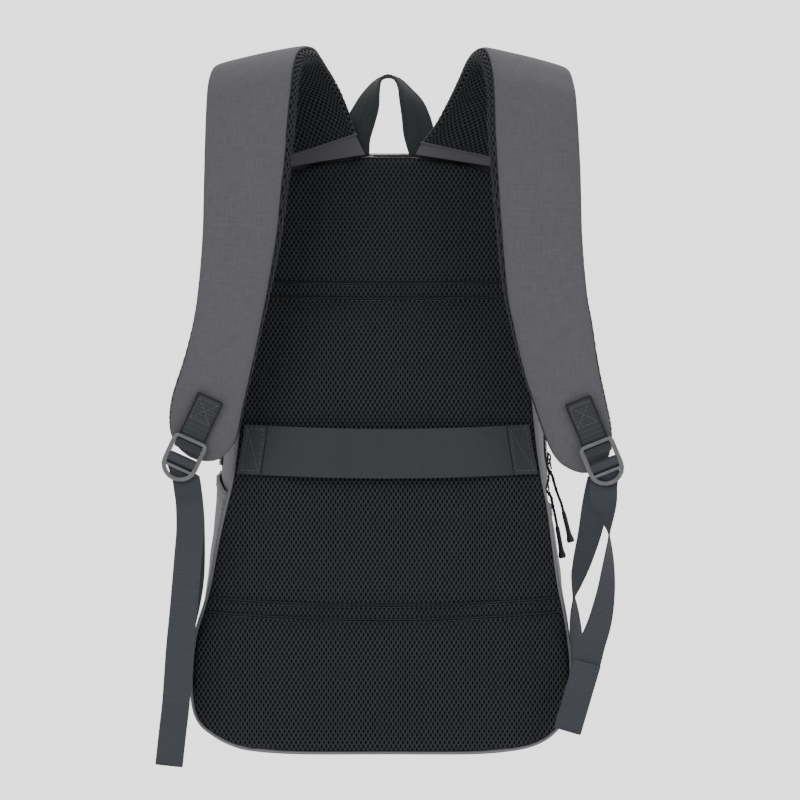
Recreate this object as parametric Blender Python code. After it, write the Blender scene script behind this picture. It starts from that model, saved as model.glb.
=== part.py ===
"""Laptop backpack, built as separate cloth walls, pads, webbing and fittings.

Metres, +Z up. The worn side with its mesh back panel faces -Y, the front faces +Y.
The origin is under the top of the haul loop, where a hook or a hand holds the pack.
"""
import math
from collections import namedtuple

import bmesh
import bpy
from mathutils import Matrix, Vector

# Body
BODY_HEIGHT = 0.452
BODY_WIDTH = 0.296
BODY_DEPTH = 0.150
HAUL_RISE = 0.061          # from the body's top edge up to the underside of the haul loop
CLOTH = 0.0018             # walls of coated polyester with its thin foam
FRONT_WALL = 0.002
FRONT_CROWN = 0.022        # how far the front bulges beyond its seam
FRONT_TUCK = 0.012         # how far the sides turn in towards the front
GAP = 0.0004               # between neighbouring pieces
PANEL_EDGE = 0.003         # back panel where it is sewn
PANEL_CROWN = 0.009        # its padding, beyond the sewn edge
PIPING = 0.0028
PIPING_CLEAR = 0.0012      # between the piping and the panel's edge

# Zip, pockets, band and handle
ZIP_PLACE = 0.29           # share of the depth where the zip runs
ZIP_TAPE = 0.025
ZIP_TAPE_THICK = 0.0006
ZIP_COIL = 0.006
ZIP_COIL_THICK = 0.0012
SLIDER_LENGTH = 0.011
SLIDER_WIDTH = 0.008
SLIDER_THICK = 0.002
PULL_CORD = 0.0022
GRIP_LENGTH = 0.0235
GRIP_NECK = 0.0032
GRIP_FOOT = 0.0060
POCKET_WALL = 0.0012
POCKET_CLEAR = 0.001       # between the pocket and the wall where it is sewn
POCKET_HEM = 0.008
BAND_WIDTH = 0.0375
BAND_THICK = 0.0015
BAND_SAG = 0.0034
BAND_SLACK = 0.0075
HAUL_WIDTH = 0.025
HAUL_THICK = 0.0024

# Shoulder straps and their webbing
STRAP_WIDTH = 0.074
STRAP_THICK = 0.0125
STRAP_REACH = 0.080        # how far the strap arches out in front of the back panel
STRAP_FACE = 0.0012
WEBBING_WIDTH = 0.020
WEBBING_THICK = 0.0013
TAB_LENGTH = 0.0345
LEFT_ROLL = 24.5           # degrees that tab and buckle lean outwards on each strap
RIGHT_ROLL = 22.0
HEM_LENGTH = 0.053
BUCKLE_WIDTH = 0.027
BUCKLE_LENGTH = 0.035
BUCKLE_THICK = 0.0024
BUCKLE_RAIL = 0.0028
BUCKLE_BAR = 0.0024
BUCKLE_CORNER = 0.004

BodyRow = namedtuple(
    "BodyRow", "height left right bulge_left bulge_right pocket_left pocket_right depth")
# height is a share of BODY_HEIGHT; left, right, bulges and pockets are shares of BODY_WIDTH
# from the middle or out from the panel's edge; depth is a share of BODY_DEPTH
BODY_ROWS = [
    BodyRow(0.000, 0.228, 0.208, 0.004, 0.004, 0.004, 0.004, 0.86),
    BodyRow(0.005, 0.346, 0.310, 0.004, 0.004, 0.004, 0.004, 0.87),
    BodyRow(0.014, 0.403, 0.372, 0.003, 0.003, 0.006, 0.006, 0.89),
    BodyRow(0.030, 0.449, 0.415, 0.002, 0.002, 0.008, 0.008, 0.92),
    BodyRow(0.051, 0.485, 0.441, 0.000, 0.000, 0.012, 0.012, 0.95),
    BodyRow(0.085, 0.502, 0.456, -0.006, -0.006, 0.012, 0.012, 0.97),
    BodyRow(0.139, 0.503, 0.464, -0.010, -0.010, 0.012, 0.011, 1.00),
    BodyRow(0.193, 0.494, 0.457, -0.012, -0.012, 0.011, 0.012, 1.00),
    BodyRow(0.240, 0.473, 0.445, -0.016, -0.016, 0.012, 0.013, 1.00),
    BodyRow(0.282, 0.456, 0.432, -0.016, -0.020, 0.015, 0.014, 1.00),
    BodyRow(0.349, 0.437, 0.418, -0.014, -0.024, 0.022, 0.012, 1.00),
    BodyRow(0.408, 0.417, 0.406, -0.006, -0.022, 0.033, 0.010, 1.00),
    BodyRow(0.458, 0.399, 0.391, 0.016, 0.002, 0.046, 0.020, 1.00),
    BodyRow(0.517, 0.387, 0.378, 0.042, 0.022, 0.050, 0.032, 1.00),
    BodyRow(0.609, 0.374, 0.364, 0.042, 0.034, 0.050, 0.040, 0.97),
    BodyRow(0.693, 0.364, 0.354, 0.042, 0.036, 0.050, 0.044, 0.92),
    BodyRow(0.779, 0.351, 0.341, 0.040, 0.036, 0.048, 0.044, 0.85),
    BodyRow(0.861, 0.338, 0.328, 0.038, 0.034, 0.046, 0.042, 0.76),
    BodyRow(0.920, 0.324, 0.314, 0.034, 0.032, 0.042, 0.040, 0.68),
    BodyRow(0.952, 0.305, 0.296, 0.028, 0.028, 0.036, 0.036, 0.63),
    BodyRow(0.971, 0.269, 0.267, 0.020, 0.020, 0.028, 0.028, 0.59),
    BodyRow(0.984, 0.213, 0.213, 0.012, 0.012, 0.020, 0.020, 0.56),
    BodyRow(0.994, 0.138, 0.131, 0.006, 0.006, 0.014, 0.014, 0.54),
    BodyRow(1.000, 0.062, 0.059, 0.004, 0.004, 0.012, 0.012, 0.53),
]
TOP_ROW = len(BODY_ROWS) - 1

PuffRow = namedtuple("PuffRow", "height puff")
# how full the back panel's padding is at each height, with its two sewn channels
PUFF_ROWS = [
    PuffRow(0.000, 0.00), PuffRow(0.014, 0.28), PuffRow(0.040, 0.62), PuffRow(0.085, 0.88),
    PuffRow(0.139, 1.00), PuffRow(0.193, 0.90), PuffRow(0.219, 0.55), PuffRow(0.231, 0.30),
    PuffRow(0.246, 0.30), PuffRow(0.258, 0.55), PuffRow(0.290, 0.90), PuffRow(0.349, 1.00),
    PuffRow(0.517, 1.00), PuffRow(0.693, 0.95), PuffRow(0.750, 0.80), PuffRow(0.766, 0.50),
    PuffRow(0.774, 0.30), PuffRow(0.786, 0.30), PuffRow(0.796, 0.50), PuffRow(0.820, 0.80),
    PuffRow(0.880, 0.90), PuffRow(0.935, 0.72), PuffRow(0.971, 0.40), PuffRow(0.990, 0.12),
    PuffRow(1.000, 0.00),
]

StrapRow = namedtuple("StrapRow", "across up out breadth lean face")
# across is a share of BODY_WIDTH, up of BODY_HEIGHT from the body's top, out of STRAP_REACH,
# breadth of STRAP_WIDTH; lean and face are degrees: the slope of the width, and its turn
LEFT_STRAP = [
    StrapRow(-0.169, -0.006, 0.085, 0.87, 8.8, 0),
    StrapRow(-0.199, 0.0143, 0.085, 0.94, 18, 0),
    StrapRow(-0.223, 0.058, 0.090, 0.97, 14, 0),
    StrapRow(-0.253, 0.100, 0.145, 1.00, 12, 4),
    StrapRow(-0.280, 0.130, 0.280, 1.00, 12, 8),
    StrapRow(-0.303, 0.152, 0.500, 1.00, 11, 14),
    StrapRow(-0.332, 0.150, 0.770, 1.00, 10, 22),
    StrapRow(-0.344, 0.127, 0.910, 1.02, 8, 27),
    StrapRow(-0.349, 0.092, 0.970, 1.01, 5, 28),
    StrapRow(-0.355, 0.032, 1.000, 0.98, 2, 28),
    StrapRow(-0.362, -0.033, 0.990, 0.93, 1, 26),
    StrapRow(-0.374, -0.132, 0.930, 0.83, 1, 20),
    StrapRow(-0.393, -0.220, 0.840, 0.75, 1, 14),
    StrapRow(-0.410, -0.278, 0.760, 0.71, 0, 9),
    StrapRow(-0.433, -0.341, 0.660, 0.71, -3, 5),
    StrapRow(-0.462, -0.410, 0.560, 0.735, -6, 2),
    StrapRow(-0.473, -0.455, 0.495, 0.70, -8, 0),
    StrapRow(-0.476, -0.481, 0.455, 0.58, -6, 0),
    StrapRow(-0.470, -0.499, 0.430, 0.34, -2, 0),
    StrapRow(-0.464, -0.506, 0.420, 0.12, 0, 0),
]
RIGHT_STRAP = [
    StrapRow(0.177, -0.006, 0.085, 0.87, -8.8, 0),
    StrapRow(0.200, 0.0085, 0.085, 0.93, -12, 0),
    StrapRow(0.238, 0.043, 0.090, 0.94, -10, 0),
    StrapRow(0.273, 0.082, 0.145, 0.96, -10, 4),
    StrapRow(0.297, 0.113, 0.280, 0.97, -10, 8),
    StrapRow(0.320, 0.144, 0.500, 0.98, -11, 14),
    StrapRow(0.346, 0.148, 0.770, 0.99, -13, 22),
    StrapRow(0.359, 0.123, 0.910, 0.99, -10, 26),
    StrapRow(0.365, 0.092, 0.970, 0.97, -4, 26),
    StrapRow(0.369, 0.034, 1.000, 0.98, -2, 26),
    StrapRow(0.376, -0.038, 0.990, 0.955, 0, 24),
    StrapRow(0.385, -0.134, 0.930, 0.885, 0, 18),
    StrapRow(0.399, -0.227, 0.840, 0.845, 2, 12),
    StrapRow(0.415, -0.280, 0.760, 0.82, 3, 8),
    StrapRow(0.437, -0.351, 0.650, 0.775, 4, 4),
    StrapRow(0.462, -0.410, 0.560, 0.725, 5, 2),
    StrapRow(0.485, -0.463, 0.480, 0.67, 9, 0),
    StrapRow(0.498, -0.497, 0.430, 0.555, 11, 0),
    StrapRow(0.507, -0.517, 0.400, 0.34, 8, 0),
    StrapRow(0.510, -0.526, 0.388, 0.12, 6, 0),
]
YOKE_ROWS = 1              # the strap's first stretch is its yoke

WebRow = namedtuple("WebRow", "across up out twist")
# the same shares; twist is in degrees, 0 where the webbing lies flat to the back
LEFT_TAIL = [
    WebRow(-0.519, -0.539, 0.506, 8), WebRow(-0.514, -0.562, 0.494, 6),
    WebRow(-0.510, -0.584, 0.478, 4), WebRow(-0.509, -0.626, 0.450, 0),
    WebRow(-0.515, -0.676, 0.438, 0), WebRow(-0.526, -0.760, 0.425, 0),
    WebRow(-0.536, -0.828, 0.410, 0), WebRow(-0.545, -0.912, 0.400, 0),
    WebRow(-0.554, -0.965, 0.400, 0), WebRow(-0.563, -1.019, 0.400, 0),
]
LEFT_ANCHOR = [
    WebRow(-0.519, -0.539, 0.482, 8), WebRow(-0.514, -0.560, 0.460, 8),
    WebRow(-0.508, -0.600, 0.400, 8), WebRow(-0.506, -0.643, 0.320, 12),
    WebRow(-0.506, -0.701, 0.210, 24), WebRow(-0.511, -0.752, 0.100, 45),
    WebRow(-0.520, -0.802, 0.010, 62), WebRow(-0.525, -0.853, -0.012, 62),
    WebRow(-0.527, -0.900, -0.012, 62),
]
RIGHT_TAIL = [
    WebRow(0.551, -0.542, 0.485, 0), WebRow(0.549, -0.560, 0.490, 6),
    WebRow(0.555, -0.594, 0.505, 46), WebRow(0.562, -0.626, 0.510, 84),
    WebRow(0.563, -0.651, 0.500, 100), WebRow(0.561, -0.687, 0.485, 116),
    WebRow(0.555, -0.730, 0.465, 131), WebRow(0.541, -0.777, 0.445, 148),
    WebRow(0.520, -0.819, 0.420, 163), WebRow(0.505, -0.855, 0.415, 172),
    WebRow(0.486, -0.898, 0.410, 178), WebRow(0.472, -0.930, 0.405, 180),
    WebRow(0.458, -0.961, 0.400, 180),
]
RIGHT_ANCHOR = [
    WebRow(0.543, -0.542, 0.445, 0), WebRow(0.537, -0.560, 0.410, 4),
    WebRow(0.527, -0.590, 0.340, 20), WebRow(0.513, -0.636, 0.245, 36),
    WebRow(0.495, -0.680, 0.175, 50), WebRow(0.481, -0.712, 0.125, 66),
    WebRow(0.474, -0.734, 0.085, 85), WebRow(0.475, -0.757, 0.050, 104),
    WebRow(0.480, -0.797, 0.005, 116), WebRow(0.486, -0.848, -0.012, 118),
    WebRow(0.488, -0.895, -0.012, 118),
]
BuckleSeat = namedtuple("BuckleSeat", "across up row roll")
LEFT_BUCKLE = BuckleSeat(-0.503, -0.470, 16, LEFT_ROLL)
RIGHT_BUCKLE = BuckleSeat(0.526, -0.476, 16, -RIGHT_ROLL)

HaulRow = namedtuple("HaulRow", "across up out turn")
# across is a share of BODY_WIDTH, up of HAUL_RISE, out of HAUL_WIDTH; turn 0 is flat to the
# back, 90 edge-on at the loop's top
HAUL_ROWS = [
    HaulRow(-0.092, 0.020, 0.095, 0), HaulRow(-0.090, 0.220, 0.090, 5),
    HaulRow(-0.075, 0.440, 0.080, 20), HaulRow(-0.060, 0.620, 0.060, 38),
    HaulRow(-0.046, 0.810, 0.030, 60), HaulRow(-0.028, 0.965, 0.000, 80),
    HaulRow(-0.004, 1.022, 0.000, 90), HaulRow(0.021, 0.985, 0.000, 100),
    HaulRow(0.040, 0.870, 0.020, 112), HaulRow(0.058, 0.700, 0.045, 135),
    HaulRow(0.070, 0.500, 0.065, 150), HaulRow(0.079, 0.270, 0.085, 165),
    HaulRow(0.095, 0.020, 0.095, 180),
]

CordRow = namedtuple("CordRow", "across up out")
# route of each pull's cord, from its slider to its grip: across a share of BODY_WIDTH, up of
# BODY_HEIGHT from the body's top, out of BODY_DEPTH behind the panel's seam
UPPER_CORD = [
    CordRow(0.4215, -0.536, 0.280), CordRow(0.4300, -0.556, 0.274),
    CordRow(0.4380, -0.571, 0.270), CordRow(0.4450, -0.583, 0.268),
    CordRow(0.4510, -0.598, 0.268),
]
LOWER_CORD = [
    CordRow(0.4180, -0.571, 0.290), CordRow(0.4230, -0.586, 0.288),
    CordRow(0.4280, -0.600, 0.286), CordRow(0.4320, -0.613, 0.285),
    CordRow(0.4350, -0.624, 0.285),
]
LOWER_SLIDER_HEIGHT = 0.454
SLIDER_SPACE = 0.0062      # between the two sliders
UPPER_SLIDER_HEIGHT = LOWER_SLIDER_HEIGHT + (SLIDER_LENGTH + SLIDER_SPACE) / BODY_HEIGHT
ZIP_LEFT_END = 0.480
ZIP_RIGHT_END = 0.436


def fresh_scene():
    for item in list(bpy.data.objects):
        bpy.data.objects.remove(item, do_unlink=True)
    collection = bpy.data.collections.new("laptop_backpack")
    bpy.context.scene.collection.children.link(collection)
    return collection


def material(name, colour, roughness, metallic=0.0):
    made = bpy.data.materials.new(name)
    made.use_nodes = True
    shader = made.node_tree.nodes["Principled BSDF"]
    shader.inputs["Base Color"].default_value = (*colour, 1.0)
    shader.inputs["Roughness"].default_value = roughness
    shader.inputs["Metallic"].default_value = metallic
    return made


def keep(bm, name, finish, collection):
    """Store a finished closed mesh as a named object with its material."""
    bmesh.ops.recalc_face_normals(bm, faces=bm.faces[:])
    mesh = bpy.data.meshes.new(name)
    bm.to_mesh(mesh)
    bm.free()
    mesh.materials.append(finish)
    mesh.shade_smooth()
    mesh.set_sharp_from_angle(angle=math.radians(40))
    item = bpy.data.objects.new(name, mesh)
    collection.objects.link(item)
    return item


def mix(low, high, share):
    return low + (high - low) * share


def ease(share):
    share = min(1.0, max(0.0, share))
    return share * share * (3 - 2 * share)


def hermite(before, low, high, after, share):
    """Uniform Catmull-Rom curve between the two middle values."""
    rise_low = (high - before) * 0.5
    rise_high = (after - low) * 0.5
    a = 2 * share ** 3 - 3 * share ** 2 + 1
    b = share ** 3 - 2 * share ** 2 + share
    c = 3 * share ** 2 - 2 * share ** 3
    d = share ** 3 - share ** 2
    return low * a + rise_low * b + high * c + rise_high * d


def along(values, at, closed=False):
    """A list read at a place between its items, on a smooth curve."""
    count = len(values)
    first = math.floor(at)
    share = at - first
    if closed:
        four = [values[(first + step) % count] for step in (-1, 0, 1, 2)]
    else:
        first = min(first, count - 2)
        share = at - first
        four = [values[min(max(first + step, 0), count - 1)] for step in (-1, 0, 1, 2)]
    return hermite(*four, share)


def column(rows, name):
    return [getattr(row, name) for row in rows]


def between(rows, key, name, at):
    """One column of a table at a value of its key column, in straight steps."""
    places = column(rows, key)
    values = column(rows, name)
    for low in range(len(rows) - 1):
        if at <= places[low + 1]:
            share = (at - places[low]) / (places[low + 1] - places[low])
            return mix(values[low], values[low + 1], max(0.0, share))
    return values[-1]


def body_z(height):
    return -HAUL_RISE - BODY_HEIGHT * (1 - height)


def walk_values(left_name, right_name, sign_left=1):
    """A column pair round the outline: bottom middle, left side up, top middle, right down."""
    left = [sign_left * value for value in column(BODY_ROWS, left_name)]
    right = column(BODY_ROWS, right_name)
    return ([(left[0] + right[0]) / 2] + left + [(left[-1] + right[-1]) / 2] + right[::-1])


WALK_X = [value * BODY_WIDTH for value in walk_values("left", "right", -1)]
WALK_Z = [body_z(value) for value in walk_values("height", "height")]
WALK_BULGE = [value * BODY_WIDTH for value in walk_values("bulge_left", "bulge_right")]
WALK_POCKET = [value * BODY_WIDTH for value in walk_values("pocket_left", "pocket_right")]
WALK_DEPTH = [value * BODY_DEPTH for value in walk_values("depth", "depth")]
WALK = len(WALK_X)


def walk_left(height):
    """Place along the outline of a height on the left side."""
    places = column(BODY_ROWS, "height")
    for low in range(TOP_ROW):
        if height <= places[low + 1]:
            return 1 + low + (height - places[low]) / (places[low + 1] - places[low])
    return 1 + TOP_ROW


def walk_right(height):
    return WALK - walk_left(height)


def outline(at):
    """The back panel's edge there, with the direction that points away from the body."""
    step = 0.02
    point = Vector((along(WALK_X, at, True), 0, along(WALK_Z, at, True)))
    ahead = Vector((along(WALK_X, at + step, True), 0, along(WALK_Z, at + step, True)))
    behind = Vector((along(WALK_X, at - step, True), 0, along(WALK_Z, at - step, True)))
    run = (ahead - behind).normalized()
    return point, Vector((-run.z, 0, run.x))


def outline_pace(at):
    """Metres along the outline for one step of its place."""
    ahead, _ = outline(at + 0.05)
    behind, _ = outline(at - 0.05)
    return (ahead - behind).length / 0.1


def belly(depth_share):
    """How much of its bulge a side wall has at a share of the depth."""
    return 1 - (1 - min(depth_share / 0.32, 1.0)) ** 2


def wall_point(at, depth_share, lift=0.0):
    point, outward = outline(at)
    out = along(WALK_BULGE, at, True) * belly(depth_share)
    out += lift - FRONT_TUCK * ease((depth_share - 0.72) / 0.28)
    point = point + outward * out
    point.y = GAP + along(WALK_DEPTH, at, True) * depth_share
    return point


def two_sided(name, finish, collection, columns, rows, front, back):
    """A closed solid from a grid: its front by one function, its back by another.
    The functions take the column's and row's numbers."""
    bm = bmesh.new()
    bmesh.ops.create_grid(bm, x_segments=columns, y_segments=rows, size=1.0)
    grown = bmesh.ops.extrude_face_region(bm, geom=bm.faces[:], use_keep_orig=True)
    back_side = {item for item in grown["geom"] if isinstance(item, bmesh.types.BMVert)}
    for vert in bm.verts:
        across = round((vert.co.x + 1) / 2 * columns)
        upward = round((vert.co.y + 1) / 2 * rows)
        vert.co = (back if vert in back_side else front)(across, upward)
    return keep(bm, name, finish, collection)


def loft(name, finish, collection, sections):
    """A closed solid through rings of points: the first ring's face is drawn out to the last."""
    bm = bmesh.new()
    cap = bm.faces.new([bm.verts.new(point) for point in sections[0]])
    for number, section in enumerate(sections[1:]):
        grown = bmesh.ops.extrude_face_region(bm, geom=[cap], use_keep_orig=True)
        if number > 0:
            bmesh.ops.delete(bm, geom=[cap], context="FACES_ONLY")
        cap = [item for item in grown["geom"] if isinstance(item, bmesh.types.BMFace)][0]
        for vert, point in zip(cap.verts, section):
            vert.co = point
    return keep(bm, name, finish, collection)


def tangents(points):
    runs = []
    for number in range(len(points)):
        ahead = points[min(number + 1, len(points) - 1)]
        behind = points[max(number - 1, 0)]
        runs.append((ahead - behind).normalized())
    return runs


def ribbon(points, acrosses, width, thick):
    """Rings of four points for flat webbing along a path."""
    sections = []
    for point, run, across in zip(points, tangents(points), acrosses):
        face = run.cross(across).normalized() * (thick / 2)
        side = across * (width / 2)
        sections.append([point - side - face, point + side - face,
                         point + side + face, point - side + face])
    return sections


def panel_heights():
    """Heights of both tables, thinned out: close together only near the corners."""
    heights = set(column(PUFF_ROWS, "height")) | set(column(BODY_ROWS, "height"))
    kept = []
    for height in sorted(heights):
        spacing = 0.0045 if min(height, 1 - height) < 0.06 else 0.0095
        if not kept or height - kept[-1] > spacing:
            kept.append(height)
    kept[-1] = 1.0
    return kept


def panel_edges(height):
    left, _ = outline(walk_left(height))
    right, _ = outline(walk_right(height))
    return left, right


def panel_surface(across, height):
    """The mesh face of the back panel, by a share across it and a height share."""
    left, right = panel_edges(height)
    point = left.lerp(right, across)
    crown = max(0.0, 1 - abs(2 * across - 1) ** 3.2) ** 0.75
    point.y = -PANEL_EDGE - PANEL_CROWN * crown * between(PUFF_ROWS, "height", "puff", height)
    return point


def build_back_panel(finish, collection):
    heights = panel_heights()
    columns = 10
    places = [0.5 - 0.5 * math.cos(math.pi * number / columns) for number in range(columns + 1)]

    def front(across, row):
        return panel_surface(places[across], heights[row])

    def back(across, row):
        left, right = panel_edges(heights[row])
        return left.lerp(right, places[across])

    two_sided("back_panel", finish, collection, columns, len(heights) - 1, front, back)


def tube(name, finish, collection, points, diameter, resolution=2, closed=False):
    """A round cord or piping: a poly curve with a bevel and filled caps."""
    curve = bpy.data.curves.new(name, "CURVE")
    curve.dimensions = "3D"
    curve.bevel_depth = diameter / 2
    curve.bevel_resolution = resolution
    curve.use_fill_caps = True
    spline = curve.splines.new("POLY")
    spline.points.add(len(points) - 1)
    for slot, point in zip(spline.points, points):
        slot.co = (*point, 1.0)
    spline.use_cyclic_u = closed
    curve.materials.append(finish)
    item = bpy.data.objects.new(name, curve)
    collection.objects.link(item)
    return item


def build_piping(finish, collection):
    """Piping round the sides and the bottom of the back panel, ending under the straps."""
    top = 0.940
    points = []
    for at in walk_places(walk_right(top) - WALK, walk_left(top)):
        point, outward = outline(at)
        point = point + outward * (PIPING / 2 + PIPING_CLEAR)
        point.y = -PANEL_EDGE / 2
        points.append(point)
    tube("back_piping", finish, collection, points, PIPING)


def walk_places(start, end):
    """Places from start to end with every row of the body table between them."""
    middle = [float(place) for place in range(math.floor(start) + 1, math.ceil(end))]
    if middle[0] - start < 0.1:
        middle = middle[1:]
    if end - middle[-1] < 0.1:
        middle = middle[:-1]
    return [start] + middle + [end]


def build_wall(name, finish, collection, start, end):
    """One stretch of the wall round the body, from the back seam to the front seam."""
    depths = [0.0, 0.08, 0.2, 0.36, 0.6, 0.8, 0.92, 1.0]
    places = walk_places(start + GAP / 2 / outline_pace(start), end - GAP / 2 / outline_pace(end))

    def outer(across, row):
        return wall_point(places[row], depths[across])

    def inner(across, row):
        return wall_point(places[row], depths[across], -CLOTH)

    two_sided(name, finish, collection, len(depths) - 1, len(places) - 1, outer, inner)


def build_front(finish, collection):
    columns = 6
    rows = TOP_ROW

    def skin(across, row, lift):
        left = wall_point(1 + row, 1.0)
        right = wall_point(WALK - 1 - row, 1.0)
        share = across / columns
        point = left.lerp(right, share)
        crown = max(0.0, 1 - abs(2 * share - 1) ** 2.4) ** 0.8
        level = BODY_ROWS[row].height
        fullness = (max(0.0, 1 - abs(2 * level - 1) ** 4)) ** 0.8
        point.y += GAP + FRONT_CROWN * crown * fullness + lift
        return point

    two_sided("front_panel", finish, collection, columns, rows,
              lambda across, row: skin(across, row, FRONT_WALL),
              lambda across, row: skin(across, row, 0.0))


def build_zip_strip(name, finish, collection, width, lift, thick):
    """A strip that lies on the wall at the zip's place, up one side and down the other."""
    places = walk_places(walk_left(ZIP_LEFT_END), walk_right(ZIP_RIGHT_END))
    columns = 2

    def side(height):
        def at_grid(across, row):
            offset = width * (across / columns - 0.5)
            share = ZIP_PLACE + offset / along(WALK_DEPTH, places[row], True)
            return wall_point(places[row], share, height)
        return at_grid

    two_sided(name, finish, collection, columns, len(places) - 1, side(lift + thick), side(lift))


def build_zip(tape_finish, coil_finish, collection):
    build_zip_strip("zip_tape", tape_finish, collection, ZIP_TAPE, GAP, ZIP_TAPE_THICK)
    build_zip_strip("zip_coil", coil_finish, collection, ZIP_COIL, GAP + ZIP_TAPE_THICK + GAP,
                    ZIP_COIL_THICK)


def slider_seat(height):
    """Middle of a slider's underside on the right wall, its outward and its run down."""
    at = walk_right(height)
    lift = GAP + ZIP_TAPE_THICK + GAP + ZIP_COIL_THICK + GAP
    middle = wall_point(at, ZIP_PLACE, lift)
    run = (wall_point(at + 0.05, ZIP_PLACE, lift) - wall_point(at - 0.05, ZIP_PLACE, lift))
    return middle, outline(at)[1], run.normalized()


def build_slider(name, height, finish, collection):
    middle, outward, run = slider_seat(height)
    side = run.cross(outward).normalized()
    bm = bmesh.new()
    bmesh.ops.create_cube(bm, size=1.0)
    bmesh.ops.scale(bm, vec=(SLIDER_WIDTH, SLIDER_LENGTH, SLIDER_THICK), verts=bm.verts[:])
    upper = [edge for edge in bm.edges if min(vert.co.z for vert in edge.verts) > 0]
    bmesh.ops.bevel(bm, geom=upper, offset=SLIDER_THICK * 0.3, segments=1, profile=0.5,
                    affect="EDGES", material=-1)
    turn = Matrix((side, run, outward)).transposed().to_4x4()
    place = Matrix.Translation(middle + outward * SLIDER_THICK / 2) @ turn
    bmesh.ops.transform(bm, matrix=place, verts=bm.verts[:])
    keep(bm, name, finish, collection)


def cord_points(rows, slider_height, steps=2):
    """The cord's middle line, from the lower end of its slider through its rows."""
    middle, outward, run = slider_seat(slider_height)
    start = middle + outward * SLIDER_THICK / 2 + run * (SLIDER_LENGTH / 2 + GAP)
    route = [start + run * PULL_CORD * 0.6 + outward * PULL_CORD * 0.3]
    route += [Vector((row.across * BODY_WIDTH, row.out * BODY_DEPTH,
                      body_z(1) + row.up * BODY_HEIGHT)) for row in rows]
    count = (len(route) - 1) * steps
    return [start] + [along(route, number / steps) for number in range(count + 1)]


def build_pull(name, slider_height, rows, cord_finish, grip_finish, collection):
    points = cord_points(rows, slider_height)
    tube("pull_cord_" + name, cord_finish, collection, points, PULL_CORD)
    run = (points[-1] - points[-3]).normalized()
    side = run.cross(Vector((0, 1, 0))).normalized()
    up = run.cross(side)
    sections = []
    for share, size in ((0.0, GRIP_NECK), (0.7, mix(GRIP_NECK, GRIP_FOOT, 0.45)),
                        (0.88, GRIP_FOOT), (1.0, GRIP_FOOT * 0.9)):
        middle = points[-1] + run * (GAP + GRIP_LENGTH * share)
        sections.append([middle + (side * math.cos(turn) + up * math.sin(turn)) * size / 2
                         for turn in [math.tau * number / 8 for number in range(8)]])
    loft("pull_grip_" + name, grip_finish, collection, sections)


PocketShape = namedtuple("PocketShape", "side mouth_back mouth_middle mouth_front")
LEFT_POCKET = PocketShape("left", 0.434, 0.458, 0.470)
RIGHT_POCKET = PocketShape("right", 0.396, 0.412, 0.424)
POCKET_BASE = 0.060
POCKET_BACK = 0.03
POCKET_FRONT = 0.90


def pocket_mouth(shape, depth_share):
    middle = mix(POCKET_BACK, POCKET_FRONT, 0.45)
    if depth_share < middle:
        return mix(shape.mouth_back, shape.mouth_middle,
                   ease((depth_share - POCKET_BACK) / (middle - POCKET_BACK)))
    return mix(shape.mouth_middle, shape.mouth_front,
               ease((depth_share - middle) / (POCKET_FRONT - middle)))


def pocket_point(shape, depth_share, height, lift):
    at = walk_left(height) if shape.side == "left" else walk_right(height)
    room = along(WALK_POCKET, at, True) - along(WALK_BULGE, at, True)
    span = (depth_share - POCKET_BACK) / (POCKET_FRONT - POCKET_BACK)
    fullness = math.sin(math.pi * min(1.0, max(0.0, span))) ** 0.6
    room = max(0.0, room - POCKET_CLEAR - POCKET_WALL) * fullness
    base = ease((height - POCKET_BASE) / 0.08)
    return wall_point(at, depth_share, POCKET_CLEAR + room * base + lift)


def build_pocket(shape, finish, hem_finish, collection):
    columns = 8
    rows = 9
    hem_rows = 1
    hem_share = POCKET_HEM / BODY_HEIGHT

    def place(lift, low, high, steps):
        def at_grid(across, row):
            depth_share = mix(POCKET_BACK, POCKET_FRONT, across / columns)
            mouth = pocket_mouth(shape, depth_share)
            height = mix(low(mouth), high(mouth), row / steps)
            return pocket_point(shape, depth_share, height, lift)
        return at_grid

    gap_share = GAP / BODY_HEIGHT
    two_sided("side_pocket_" + shape.side, finish, collection, columns, rows,
              place(POCKET_WALL, lambda mouth: POCKET_BASE,
                    lambda mouth: mouth - hem_share - gap_share, rows),
              place(0.0, lambda mouth: POCKET_BASE,
                    lambda mouth: mouth - hem_share - gap_share, rows))
    two_sided("pocket_hem_" + shape.side, hem_finish, collection, columns, hem_rows,
              place(POCKET_WALL * 1.5, lambda mouth: mouth - hem_share, lambda mouth: mouth,
                    hem_rows),
              place(0.0, lambda mouth: mouth - hem_share, lambda mouth: mouth, hem_rows))


def build_band(finish, collection):
    """Webbing across the back that slips over a trolley's handle, sewn at both ends."""
    top_height = 0.5505
    low_height = top_height - BAND_WIDTH / BODY_HEIGHT
    steps = 20
    sewn = 0.075
    sections = []
    for number in range(steps + 1):
        share = number / steps
        free = ease((share - sewn) / 0.16) * ease((1 - share - sewn) / 0.16)
        ring = []
        for height in (top_height, low_height):
            left, right = panel_edges(height)
            width = right.x - left.x
            edge = GAP + 0.004 + (0.006 if height == top_height else 0.0)
            across = mix(edge / width, 1 - edge / width, share)
            fullest = min(panel_surface(mix(edge / width, 1 - edge / width, share + step), height).y
                          for step in (-0.02, 0.0, 0.02) if 0 <= share + step <= 1)
            point = panel_surface(across, height)
            point.y = fullest - GAP - BAND_THICK / 2 - BAND_SLACK * free
            point.z -= BAND_SAG * math.sin(math.pi * share)
            ring.append(point)
        face = Vector((0, BAND_THICK / 2, 0))
        sections.append([ring[0] - face, ring[1] - face, ring[1] + face, ring[0] + face])
    loft("luggage_band", finish, collection, sections)


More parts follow.
